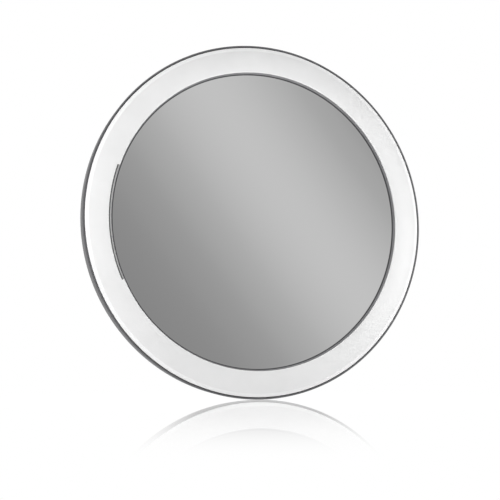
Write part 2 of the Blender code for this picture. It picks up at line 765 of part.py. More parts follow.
def cup_profile():
    """Cup from the middle of its hollow, over the bell and the neck, and down its bore."""
    hollow = [
        (CUP_RIM_INNER_RADIUS * share, hollow_stand(CUP_RIM_INNER_RADIUS * share))
        for share in CUP_HOLLOW_SHARES
    ]
    rim = [
        (CUP_RIM_INNER_RADIUS, 0.0),
        (CUP_RADIUS - CUP_RIM_ROUND, 0.0),
        (CUP_RADIUS, CUP_RIM_ROUND),
    ]
    bell = []
    for share in CUP_BELL_SHARES:
        radius = CUP_RADIUS + (CUP_NECK_RADIUS - CUP_RADIUS) * share
        bell.append((radius, bell_stand(radius)))
    bead_base = CUP_TOP - CUP_BEAD_HEIGHT
    pocket_base = CUP_HOLLOW_DEPTH + CUP_FLOOR_THICKNESS
    pocket_top = pocket_base + PIN_BARB_LENGTH + 2.0 * FIT_GAP
    neck = [
        (CUP_NECK_RADIUS, bead_base),
        (CUP_BEAD_RADIUS, bead_base + CUP_BEAD_CHAMFER),
        (CUP_BEAD_RADIUS, CUP_TOP - CUP_BEAD_CHAMFER),
        (CUP_BEAD_RADIUS - CUP_BEAD_CHAMFER, CUP_TOP),
        (CUP_BORE_RADIUS, CUP_TOP),
        (CUP_BORE_RADIUS, pocket_top),
        (CUP_POCKET_RADIUS, pocket_top),
        (CUP_POCKET_RADIUS, pocket_base),
        (0.0, pocket_base),
    ]
    return hollow + rim + bell + neck


def add_tab(bm):
    """Release tab below the cup's rim, with ridges for a fingertip."""
    half = 0.5 * TAB_WIDTH
    root = -(CUP_RADIUS - 0.5 * CUP_RIM_WIDTH)
    tip = -(CUP_RADIUS + TAB_REACH)
    end = arc((0.0, tip + half), half, math.pi, math.tau, TAB_STEPS)
    outline = [(half, root), (-half, root)] + end
    top = TAB_LIFT + TAB_THICKNESS
    add_prism(bm, [(outline, TAB_LIFT), (outline, top)])
    for i in range(TAB_RIDGE_COUNT):
        middle = tip + half - (i - 0.5 * (TAB_RIDGE_COUNT - 1)) * TAB_RIDGE_PITCH
        low = middle - 0.5 * TAB_RIDGE_WIDTH
        high = middle + 0.5 * TAB_RIDGE_WIDTH
        reach = half * RIDGE_SHARE
        ridge = [(reach, low), (reach, high), (-reach, high), (-reach, low)]
        add_prism(bm, [(ridge, 0.5 * top), (ridge, top + TAB_RIDGE_HEIGHT)])


def build_cups(head):
    """A pin and a suction cup in each keyhole."""
    pin_mesh = turned_mesh("cup_pin", pin_profile(), PIN_STEPS, closed=False)
    pin_mesh.materials.append(material("pin_nylon"))
    cup_mesh = turned_mesh("suction_cup", cup_profile(), CUP_STEPS, closed=False)
    cup_mesh.materials.append(material("clear_vinyl"))
    for side, angle in CUP_ANGLES.items():
        x, z = cup_place(angle)
        slide = add_object("keyhole_slide_" + side, None, head, (x, 0.0, z))
        pin = add_object("cup_pin_" + side, pin_mesh, slide)
        cup = add_object("suction_cup_" + side, cup_mesh, pin)
        tab = bmesh.new()
        add_tab(tab)
        tab_helper = helper("release_tab_" + side, tab)
        tab_helper.parent = pin
        boolean(cup, tab_helper, "UNION")


def main():
    """Build the mirror."""
    clear_scene()
    head = add_object("mirror_head", None)
    build_housing(head)
    build_ring(head)
    build_glass(head)
    build_gasket(head)
    build_pads(head)
    build_cups(head)


main()
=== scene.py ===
"""Looks of a round magnifying mirror that three suction cups hold to a wall.

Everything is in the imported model's frame, in metres: the wall is the plane y = 0, the mirror
faces -Y and +Z is up. A turned piece is drawn as a section of corners, each with its radius
from the axis and its stand, which is its distance from the wall.
"""

import logging
import math
from collections.abc import Iterable, Sequence
from dataclasses import dataclass, field
from enum import Enum

import bmesh
import bpy
from mathutils import Matrix, Vector

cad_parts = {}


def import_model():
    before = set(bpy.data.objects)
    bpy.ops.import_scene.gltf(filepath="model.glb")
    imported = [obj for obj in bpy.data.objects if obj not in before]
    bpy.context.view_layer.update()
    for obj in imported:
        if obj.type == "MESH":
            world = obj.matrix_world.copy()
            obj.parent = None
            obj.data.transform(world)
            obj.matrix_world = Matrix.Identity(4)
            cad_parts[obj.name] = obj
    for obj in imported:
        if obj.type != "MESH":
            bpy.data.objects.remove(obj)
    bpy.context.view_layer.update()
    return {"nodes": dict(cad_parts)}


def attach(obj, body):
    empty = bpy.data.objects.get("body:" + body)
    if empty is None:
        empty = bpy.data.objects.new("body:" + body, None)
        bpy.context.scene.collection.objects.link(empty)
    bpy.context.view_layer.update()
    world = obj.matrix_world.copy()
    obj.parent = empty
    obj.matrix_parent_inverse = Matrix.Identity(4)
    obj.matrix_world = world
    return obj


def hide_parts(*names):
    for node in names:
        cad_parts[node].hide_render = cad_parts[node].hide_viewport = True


MM = 0.001
LOG = logging.getLogger("makeup_mirror")

# Faces in a fillet, and in a full turn
FILLET_STEPS = 6
TURN_STEPS = 240
# A fillet takes up no more than this share of a side that it shares with another fillet, or
# of a side that it has for itself
SHARED_REACH = 0.48
LONE_REACH = 0.98
# A point nearer to the axis than this lies on it
AXIS_REACH = 0.003 * MM
# Faces that meet at more than this show an edge
SHARP_ANGLE = math.radians(32.0)

Point = tuple[float, float]
Section = list[Point]
Loop = list[Vector]
Stops = tuple[tuple[float, str], ...]
Sockets = tuple[tuple[str, object], ...]

# How light spreads inside opal acrylic
MILKY: Sockets = (
    ("Subsurface Weight", 0.10),
    ("Subsurface Radius", (1.0, 1.0, 1.0)),
    ("Subsurface Scale", 1.2 * MM),
)


class Side(Enum):
    """The cups, each at its angle in degrees as the user sees it, anticlockwise from +X."""

    TOP = 90.0
    LEFT = 210.0
    RIGHT = 330.0


class PadSeat(Enum):
    """The foam pads, each at its angle in degrees, counted as the cups are."""

    UPPER_RIGHT = 30.0
    UPPER_LEFT = 150.0
    BOTTOM = 270.0


class Join(Enum):
    """What a boolean does with a helper shape."""

    ADD = "UNION"
    CUT = "DIFFERENCE"


def linear(colour: str) -> tuple[float, float, float, float]:
    """Turn an sRGB hex value into linear light.

    Args:
        colour: a hash sign and six hex digits.

    Returns:
        Red, green, blue and an alpha of 1.
    """
    channels = []
    for start in (1, 3, 5):
        value = int(colour[start : start + 2], 16) / 255.0
        low = value / 12.92
        high = ((value + 0.055) / 1.055) ** 2.4
        channels.append(low if value <= 0.04045 else high)
    return (channels[0], channels[1], channels[2], 1.0)


def add_node(
    tree: bpy.types.NodeTree,
    kind: str,
    settings: dict[str, object] | None = None,
    inputs: dict[str | int, object] | None = None,
) -> bpy.types.Node:
    """Add a node with its settings, socket values and links.

    Args:
        tree: the node tree to add it to.
        kind: the node's type name.
        settings: values for the node's own properties.
        inputs: a value for each socket, or the output socket that feeds it.

    Returns:
        The new node.
    """
    node = tree.nodes.new(kind)
    for name, value in (settings or {}).items():
        setattr(node, name, value)
    for name, value in (inputs or {}).items():
        if isinstance(value, bpy.types.NodeSocket):
            tree.links.new(value, node.inputs[name])
        else:
            node.inputs[name].default_value = value
    return node


def set_ramp(node: bpy.types.Node, stops: Sequence[tuple[float, str]]) -> None:
    """Set the stops of a colour ramp.

    Args:
        node: the colour ramp node.
        stops: a place from 0 to 1 and an sRGB hex value for each stop.
    """
    elements = node.color_ramp.elements
    while len(elements) < len(stops):
        elements.new(1.0)
    for element, (place, colour) in zip(elements, stops):
        element.position = place
        element.color = linear(colour)


def radial_share(
    tree: bpy.types.NodeTree, inner: float, outer: float
) -> bpy.types.NodeSocket:
    """Measure how far a point lies between two radii about the mirror's axis.

    Args:
        tree: the material's node tree.
        inner: radius at which the share is 0.
        outer: radius at which the share is 1.

    Returns:
        The socket that carries the share.
    """
    place = add_node(tree, "ShaderNodeTexCoord").outputs["Object"]
    flat = add_node(
        tree,
        "ShaderNodeVectorMath",
        {"operation": "MULTIPLY"},
        {0: place, 1: (1.0, 0.0, 1.0)},
    )
    radius = add_node(
        tree, "ShaderNodeVectorMath", {"operation": "LENGTH"}, {0: flat.outputs["Vector"]}
    )
    across = add_node(
        tree,
        "ShaderNodeMapRange",
        inputs={"Value": radius.outputs["Value"], "From Min": inner, "From Max": outer},
    )
    return across.outputs["Result"]


def seen_directly(tree: bpy.types.NodeTree) -> bpy.types.NodeSocket:
    """Tell the rays that the camera, metal and glass see with from all others.

    Args:
        tree: the node tree of a material or of the surroundings.

    Returns:
        The socket that carries 1 for such a ray and 0 for another.
    """
    rays = add_node(tree, "ShaderNodeLightPath")
    seen = rays.outputs["Is Camera Ray"]
    for kind in ("Is Glossy Ray", "Is Transmission Ray"):
        seen = add_node(
            tree,
            "ShaderNodeMath",
            {"operation": "MAXIMUM"},
            {0: seen, 1: rays.outputs[kind]},
        ).outputs["Value"]
    return seen


@dataclass(frozen=True)
class Grain:
    """A noise at its real size, and what it does to a surface.

    What is given of its tones, its gloss and its relief is wired to the shader. The tones are
    colours at shares of the noise, the gloss is the roughness in its hollows and on its tops,
    and the depth is the height of its relief.
    """

    size: float
    detail: float
    tones: Stops = ()
    gloss: tuple[float, float] | None = None
    depth: float = 0.0
    distortion: float = 0.0


@dataclass(frozen=True)
class Finish:
    """A surface finish, made once as a node material.

    The sockets that are the same all over the surface are set on the shader itself. What
    varies is given as grains, and a finish that has more to it wires that in its own pattern
    method.
    """

    name: str
    colour: str
    roughness: float
    ior: float = 1.5
    sockets: Sockets = ()
    grains: tuple[Grain, ...] = ()

    def material(self) -> bpy.types.Material:
        """Make the material, or return it if it was made before.

        Returns:
            The node material.
        """
        found = bpy.data.materials.get(self.name)
        if found:
            return found
        made = bpy.data.materials.new(self.name)
        made.use_nodes = True
        tree = made.node_tree
        tree.nodes.clear()
        shader = add_node(
            tree,
            "ShaderNodeBsdfPrincipled",
            inputs={
                "Base Color": linear(self.colour),
                "Roughness": self.roughness,
                "IOR": self.ior,
                **dict(self.sockets),
            },
        )
        add_node(
            tree, "ShaderNodeOutputMaterial", inputs={"Surface": shader.outputs["BSDF"]}
        )
        self.pattern(tree, shader)
        made.diffuse_color = linear(self.colour)
        return made

    def pattern(self, tree: bpy.types.NodeTree, shader: bpy.types.Node) -> None:
        """Wire the grains.

        Args:
            tree: the material's node tree.
            shader: the principled shader to wire them to.
        """
        place = add_node(tree, "ShaderNodeTexCoord").outputs["Object"]
        for grain in self.grains:
            noise = add_node(
                tree,
                "ShaderNodeTexNoise",
                inputs={
                    "Vector": place,
                    "Scale": 1.0 / grain.size,
                    "Detail": grain.detail,
                    "Distortion": grain.distortion,
                },
            ).outputs["Fac"]
            if grain.tones:
                tint = add_node(tree, "ShaderNodeValToRGB", inputs={"Fac": noise})
                set_ramp(tint, grain.tones)
                tree.links.new(tint.outputs["Color"], shader.inputs["Base Color"])
            if grain.gloss:
                hollow, top = grain.gloss
                haze = add_node(
                    tree,
                    "ShaderNodeMapRange",
                    inputs={"Value": noise, "To Min": hollow, "To Max": top},
                )
                tree.links.new(haze.outputs["Result"], shader.inputs["Roughness"])
            if grain.depth:
                relief = add_node(
                    tree,
                    "ShaderNodeBump",
                    inputs={"Strength": 1.0, "Distance": grain.depth, "Height": noise},
                )
                tree.links.new(relief.outputs["Normal"], shader.inputs["Normal"])

    @staticmethod
    def show(tree: bpy.types.NodeTree, shader: bpy.types.Node, surface: bpy.types.Node) -> None:
        """Put another surface in the place of the principled shader.

        Args:
            tree: the material's node tree.
            shader: the principled shader, which is removed.
            surface: the node whose shader the material shows.
        """
        output = next(node for node in tree.nodes if node.type == "OUTPUT_MATERIAL")
        tree.links.new(surface.outputs[0], output.inputs["Surface"])
        tree.nodes.remove(shader)


@dataclass(frozen=True)
class OpalAcrylic(Finish):
    """Injection-moulded opal acrylic: milky, a little translucent, with a satin face."""

    name: str = "opal_acrylic_moulded"
    colour: str = "#E6E6E6"
    roughness: float = 0.30
    ior: float = 1.49
    sockets: Sockets = MILKY
    # Faint clouds of the opal filler, and the orange peel of the mould, which is of about half
    # a millimetre and is drawn at 1.5 mm to show
    grains: tuple[Grain, ...] = (
        Grain(size=16.0 * MM, detail=3.0, tones=((0.35, "#E4E4E4"), (0.65, "#E8E8E8"))),
        Grain(size=1.5 * MM, detail=1.0, depth=0.0015 * MM),
    )


@dataclass(frozen=True)
class PolishedAcrylicPaintedLight(Finish):
    """Opal acrylic with a flame polish and painted light, whiter on the bevel and edge."""

    name: str = "opal_acrylic_polished_painted_light"
    # Whiter than the moulded face: painted light on the bevel and the opening's edge
    colour: str = "#F6F6F6"
    roughness: float = 0.10
    ior: float = 1.49
    sockets: Sockets = (*MILKY, ("Coat Weight", 0.5), ("Coat Roughness", 0.03))
    # Polishing leaves slight ripples some 3 mm long
    grains: tuple[Grain, ...] = (
        Grain(size=3.0 * MM, detail=1.0, gloss=(0.07, 0.14), depth=0.004 * MM),
    )


@dataclass(frozen=True)
class NotchWebPaintedShade(Finish):
    """Opal acrylic of the notch's floor, greyed with painted shade, darkest in its corner."""

    inner_radius: float = 63.3 * MM
    outer_radius: float = 64.4 * MM
    name: str = "opal_acrylic_web_painted_shade"
    # Grey of painted shade, as the notch's floor lies in the shadow of its wall
    colour: str = "#B4B4B4"
    roughness: float = 0.32
    ior: float = 1.49
    # Painted shade at shares of the way across, darkest in the outer corner under the wall
    web_shade_tones: Stops = ((0.0, "#A4A4A4"), (0.34, "#A8A8A8"), (0.46, "#606060"), (1.0, "#4A4A4A"))

    def pattern(self, tree: bpy.types.NodeTree, shader: bpy.types.Node) -> None:
        """Wire the painted shade across the web.

        Args:
            tree: the material's node tree.
            shader: the principled shader to wire them to.
        """
        across = radial_share(tree, self.inner_radius, self.outer_radius)
        tone = add_node(tree, "ShaderNodeValToRGB", inputs={"Fac": across})
        set_ramp(tone, self.web_shade_tones)
        tree.links.new(tone.outputs["Color"], shader.inputs["Base Color"])


@dataclass(frozen=True)
class SparkErodedAbs(Finish):
    """Injection-moulded ABS with the fine matt grain of a spark-eroded mould."""

    name: str = "abs_spark_eroded"
    colour: str = "#5C5C5E"
    roughness: float = 0.48
    ior: float = 1.54
    # A drift of tone, and the mould's grain with the rubbed shine of its tops. The grain is
    # about 0.1 mm and is drawn at 0.35 mm, as coarse as it needs to show
    grains: tuple[Grain, ...] = (
        Grain(size=25.0 * MM, detail=4.0, tones=((0.3, "#5A5A5C"), (0.7, "#5E5E60"))),
        Grain(size=0.35 * MM, detail=2.0, gloss=(0.54, 0.42), depth=0.012 * MM),
    )


@dataclass(frozen=True)
class SilveredGlass(Finish):
    """Float glass silvered on its back: a neutral metal under a clear glossy coat."""

    name: str = "glass_silvered"
    colour: str = "#EDEDED"
    roughness: float = 0.01
    sockets: Sockets = (
        ("Metallic", 1.0),
        ("Coat Weight", 1.0),
        ("Coat Roughness", 0.0),
        ("Coat IOR", 1.52),
    )
    # Barely seen marks of a wiping cloth, some 12 mm apart, which only soften the reflection
    grains: tuple[Grain, ...] = (Grain(size=12.0 * MM, detail=4.0, gloss=(0.005, 0.025)),)


@dataclass(frozen=True)
class GroundGlass(Finish):
    """Ground edge of float glass: a frosted, faintly green grey."""

    name: str = "glass_ground_edge"
    colour: str = "#B9C6C0"
    roughness: float = 0.6
    ior: float = 1.52
    # Pits that a wheel of 0.1 mm grit leaves, drawn at 0.4 mm to show
    grains: tuple[Grain, ...] = (Grain(size=0.4 * MM, detail=3.0, depth=0.02 * MM),)


@dataclass(frozen=True)
class MirrorPaint(Finish):
    """Curtain-coated paint that protects the silver on the back of the glass."""

    name: str = "mirror_back_paint"
    colour: str = "#5A6066"
    roughness: float = 0.55
    # The paint flows into waves some 6 mm long
    grains: tuple[Grain, ...] = (Grain(size=6.0 * MM, detail=1.0, depth=0.01 * MM),)


@dataclass(frozen=True)
class MouldedRubber(Finish):
    """Moulded EPDM rubber: grey with a dusty bloom, with painted shade on its lip at the glass."""

    lip_radius: float = 62.4 * MM
    flat_radius: float = 63.3 * MM
    name: str = "epdm_rubber_moulded"
    colour: str = "#626264"
    roughness: float = 0.55
    ior: float = 1.52
    # Painted shade, dark on the lip, lighter on the flat, at shares of the way between the radii
    lip_shade_tones: Stops = ((0.0, "#38383A"), (0.38, "#3E3E40"), (0.54, "#848486"), (1.0, "#8C8C8E"))
    # The bloom that dusts those tones, and pores of about 0.1 mm, drawn at 0.3 mm to show
    grains: tuple[Grain, ...] = (
        Grain(size=5.0 * MM, detail=5.0, tones=((0.35, "#F0F0F0"), (0.7, "#FFFFFF"))),
        Grain(size=0.3 * MM, detail=2.0, depth=0.015 * MM),
    )

    def pattern(self, tree: bpy.types.NodeTree, shader: bpy.types.Node) -> None:
        """Wire the bloom and the pores, and the painted shade of the lip under the bloom.

        Args:
            tree: the material's node tree.
            shader: the principled shader to wire them to.
        """
        super().pattern(tree, shader)
        bloom = shader.inputs["Base Color"].links[0].from_socket
        across = radial_share(tree, self.lip_radius, self.flat_radius)
        tone = add_node(tree, "ShaderNodeValToRGB", inputs={"Fac": across})
        set_ramp(tone, self.lip_shade_tones)
        dusty = add_node(
            tree,
            "ShaderNodeVectorMath",
            {"operation": "MULTIPLY"},
            {0: tone.outputs["Color"], 1: bloom},
        )
        tree.links.new(dusty.outputs["Vector"], shader.inputs["Base Color"])


@dataclass(frozen=True)
class CellFoam(Finish):
    """Die-cut open-cell polyurethane foam: pale, matt and pitted with cells."""

    name: str = "polyurethane_foam_cut"
    colour: str = "#C9C7BE"
    roughness: float = 0.95
    # Cells of about 0.5 mm, pale at their walls, with painted shade in their hollow middles
    cell_size: float = 0.5 * MM
    cell_shade_tones: Stops = ((0.05, "#D2D0C8"), (0.5, "#8F8D84"))
    cell_depth: float = 0.15 * MM
    wall_strength: float = 0.8

    def pattern(self, tree: bpy.types.NodeTree, shader: bpy.types.Node) -> None:
        """Wire the cells, with raised walls and painted shade in their middles.

        Args:
            tree: the material's node tree.
            shader: the principled shader to wire them to.
        """
        place = add_node(tree, "ShaderNodeTexCoord").outputs["Object"]
        cells = add_node(
            tree,
            "ShaderNodeTexVoronoi",
            {"feature": "DISTANCE_TO_EDGE"},
            {"Vector": place, "Scale": 1.0 / self.cell_size},
        )
        tint = add_node(tree, "ShaderNodeValToRGB", inputs={"Fac": cells.outputs["Distance"]})
        set_ramp(tint, self.cell_shade_tones)
        relief = add_node(
            tree,
            "ShaderNodeBump",
            {"invert": True},
            {
                "Strength": self.wall_strength,
                "Distance": self.cell_depth,
                "Height": cells.outputs["Distance"],
            },
        )
        tree.links.new(tint.outputs["Color"], shader.inputs["Base Color"])
        tree.links.new(relief.outputs["Normal"], shader.inputs["Normal"])


@dataclass(frozen=True)
class MouldedNylon(Finish):
    """Injection-moulded natural nylon: creamy, waxy and slightly translucent."""

    name: str = "nylon_moulded"
    colour: str = "#E4E2D8"
    roughness: float = 0.38
    ior: float = 1.53
    sockets: Sockets = (
        ("Subsurface Weight", 0.15),
        ("Subsurface Radius", (1.0, 0.9, 0.7)),
        ("Subsurface Scale", 0.8 * MM),
    )
    # Flow marks spread from the gate some 2 mm apart
    grains: tuple[Grain, ...] = (
        Grain(
            size=2.0 * MM,
            detail=2.0,
            tones=((0.35, "#E1DFD4"), (0.65, "#E9E7DF")),
            depth=0.01 * MM,
            distortion=0.8,
        ),
    )


@dataclass(frozen=True)
class SoftVinyl(Finish):
    """Moulded clear soft vinyl: see-through with a cool cast and a slightly tacky gloss."""

    name: str = "soft_vinyl_clear"
    colour: str = "#EEF4F5"
    roughness: float = 0.08
    ior: float = 1.53
    sockets: Sockets = (("Transmission Weight", 0.92),)
    # Handling leaves smears some 4 mm across, which dull and ripple the gloss
    grains: tuple[Grain, ...] = (
        Grain(size=4.0 * MM, detail=3.0, gloss=(0.03, 0.16), depth=0.01 * MM),
    )


@dataclass(frozen=True)
class Corner:
    """A corner of a section: its radius from the axis, its stand, and what rounds it."""

    radius: float
    stand: float
    fillet: float = 0.0


def fillet(corner: Vector, back: Vector, ahead: Vector, reach: float) -> Section:
    """Arc that touches both sides of a corner.

    Args:
        corner: the corner's (radius, stand).
        back: direction of length 1 to the corner before.
        ahead: direction of length 1 to the corner after.
        reach: distance from the corner to each end of the arc.

    Returns:
        The arc's points, both ends included.
    """
    half = 0.5 * back.angle(ahead)
    centre = corner + (back + ahead).normalized() * reach / math.cos(half)
    first = corner + back * reach - centre
    last = corner + ahead * reach - centre
    sweep = -first.angle_signed(last)
    points: Section = []
    for step in range(FILLET_STEPS + 1):
        point = centre + Matrix.Rotation(sweep * step / FILLET_STEPS, 2) @ first
        points.append((point.x, point.y))
    return points


def rounded(corners: Sequence[Corner], closed: bool) -> Section:
    """Round the corners of a section.

    Args:
        corners: the section's corners in order.
        closed: whether the last corner joins the first.

    Returns:
        The points of the rounded section.
    """
    points: Section = []
    ends = () if closed else (0, len(corners) - 1)
    for index, corner in enumerate(corners):
        if corner.fillet == 0.0 or index in ends:
            points.append((corner.radius, corner.stand))
            continue
        here = Vector((corner.radius, corner.stand))
        before = corners[index - 1]
        after = corners[(index + 1) % len(corners)]
        back = Vector((before.radius, before.stand)) - here
        ahead = Vector((after.radius, after.stand)) - here
        reach = corner.fillet / math.tan(0.5 * back.angle(ahead))
        for side, beside in ((back, before), (ahead, after)):
            share = SHARED_REACH if beside.fillet else LONE_REACH
            reach = min(reach, share * side.length)
        points += fillet(here, back.normalized(), ahead.normalized(), reach)
    return points


def on_section(radius: float, stand: float) -> Vector:
    """A point of a section in the plane of +X, before it is turned about Y."""
    return Vector((radius, -stand, 0.0))


def finished_mesh(name: str, bm: bmesh.types.BMesh) -> bpy.types.Mesh:
    """Turn a bmesh into a mesh with its faces outward.

    Args:
        name: the mesh's name.
        bm: the bmesh, which is freed.

    Returns:
        The mesh.
    """
    bmesh.ops.recalc_face_normals(bm, faces=bm.faces)
    mesh = bpy.data.meshes.new(name)
    bm.to_mesh(mesh)
    bm.free()
    return mesh


def bridge(bm: bmesh.types.BMesh, low: Sequence, high: Sequence) -> None:
    """Join two rings of vertices with faces.

    Args:
        bm: the bmesh that holds them.
        low: the vertices of one ring, or one vertex for a pole.
        high: the vertices of the other, given in the same way.
    """
    count = max(len(low), len(high))
    for index in range(count):
        following = (index + 1) % count
        corners = [
            low[index % len(low)],
            low[following % len(low)],
            high[following % len(high)],
            high[index % len(high)],
        ]
        bm.faces.new(list(dict.fromkeys(corners)))


def ringed_mesh(name: str, loops: Iterable[Loop], closed: bool) -> bpy.types.Mesh:
    """Skin a row of rings.

    Args:
        name: the mesh's name.
        loops: the points of each ring, all as many, or one point for a pole.
        closed: whether the last ring joins the first.

    Returns:
        The mesh.
    """
    bm = bmesh.new()
    rings = [[bm.verts.new(point) for point in loop] for loop in loops]
    for low, high in zip(rings, rings[1:]):
        bridge(bm, low, high)
    if closed:
        bridge(bm, rings[-1], rings[0])
    return finished_mesh(name, bm)


def turned_mesh(
    name: str, section: Section, closed: bool, centre: Point = (0.0, 0.0), steps: int = TURN_STEPS
) -> bpy.types.Mesh:
    """Turn a section a full turn about a line along Y.

    Args:
        name: the mesh's name.
        section: its (radius, stand) points.
        closed: True for a ring, False for a section that starts and ends on the axis.
        centre: the axis as (x, z).
        steps: how many faces go round.

    Returns:
        The mesh.
    """
    shift = Vector((centre[0], 0.0, centre[1]))
    loops: list[Loop] = []
    for radius, stand in section:
        count = 1 if radius < AXIS_REACH else steps
        point = on_section(radius, stand)
        turns = [Matrix.Rotation(-math.tau * i / count, 3, "Y") for i in range(count)]
        loops.append([turn @ point + shift for turn in turns])
    return ringed_mesh(name, loops, closed)


def lofted_mesh(name: str, solids: Iterable[Sequence[Loop]]) -> bpy.types.Mesh:
    """Skin closed solids, all in one mesh.

    Args:
        name: the mesh's name.
        solids: for each solid its loops, all of as many points, with a cap at both ends.

    Returns:
        The mesh.
    """
    bm = bmesh.new()
    for loops in solids:
        rings = [[bm.verts.new(point) for point in loop] for loop in loops]
        bm.faces.new(rings[0])
        bm.faces.new(list(reversed(rings[-1])))
        for low, high in zip(rings, rings[1:]):
            bridge(bm, low, high)
    return finished_mesh(name, bm)


def prism(levels: Sequence[tuple[Section, float]]) -> list[Loop]:
    """Loops of a solid through (x, z) outlines, each with its stand."""
    return [[Vector((x, -stand, z)) for x, z in outline] for outline, stand in levels]


def sector(section: Section, start: float, end: float, steps: int) -> list[Loop]:
    """Sweep a section through part of a turn about the Y axis.

    Args:
        section: its (radius, stand) points.
        start: angle at which it starts, in radians from +X.
        end: angle at which it ends.
        steps: how many faces go from one to the other.

    Returns:
        The loops of the solid.
    """
    loops: list[Loop] = []
    for step in range(steps + 1):
        turn = Matrix.Rotation(-(start + (end - start) * step / steps), 3, "Y")
        loops.append([turn @ on_section(*point) for point in section])
    return loops


def arc(centre: Point, radius: float, start: float, end: float, steps: int) -> Section:
    """Lay points on an arc.

    Args:
        centre: the arc's centre.
        radius: its radius.
        start: angle at which it starts, in radians.
        end: angle at which it ends.
        steps: how many sides go from one to the other.

    Returns:
        The points, both ends included.
    """
    x, z = centre
    angles = [start + (end - start) * step / steps for step in range(steps + 1)]
    return [(x + radius * math.cos(angle), z + radius * math.sin(angle)) for angle in angles]


def combine(piece: bpy.types.Object, helper_mesh: bpy.types.Mesh, join: Join) -> None:
    """Join a helper shape to a piece or cut it away, and drop the helper.

    Args:
        piece: the piece, whose mesh is replaced.
        helper_mesh: the helper shape.
        join: what to do with it.
    """
    helper = bpy.data.objects.new("helper", helper_mesh)
    bpy.context.scene.collection.objects.link(helper)
    modifier = piece.modifiers.new("combine", "BOOLEAN")
    modifier.object = helper
    modifier.operation = join.value
    modifier.solver = "EXACT"
    graph = bpy.context.evaluated_depsgraph_get()
    before = piece.data
    piece.data = bpy.data.meshes.new_from_object(piece.evaluated_get(graph))
    piece.modifiers.clear()
    bpy.data.objects.remove(helper)
    bpy.data.meshes.remove(helper_mesh)
    bpy.data.meshes.remove(before)


def smooth(piece: bpy.types.Object) -> None:
    """Shade a piece smooth, except where its faces meet at a sharp angle."""
    piece.data.shade_smooth()
    piece.data.set_sharp_from_angle(angle=SHARP_ANGLE)


def coat(piece: bpy.types.Object, *finishes: Finish) -> None:
    """Give a piece its finishes, one for each material index of its faces.

    Args:
        piece: the piece.
        finishes: the finishes in the order of the index.
    """
    piece.data.materials.clear()
    for finish in finishes:
        piece.data.materials.append(finish.material())


def add_piece(
    name: str, mesh: bpy.types.Mesh, body: str, node: str
) -> bpy.types.Object:
    """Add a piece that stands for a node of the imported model.

    Args:
        name: the piece's name.
        mesh: its mesh, in the model's frame.
        body: the body that it rides on.
        node: the node that it stands for.

    Returns:
        The piece.
    """
    piece = bpy.data.objects.new(name, mesh)
    bpy.context.scene.collection.objects.link(piece)
    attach(piece, body)
    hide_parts(node)
    return piece


def hollow_rise(radius: float, curve: float) -> float:
    """Rise of a hollow face from its middle to a radius, by the radius of its curve."""
    return curve - math.sqrt(curve**2 - radius**2)


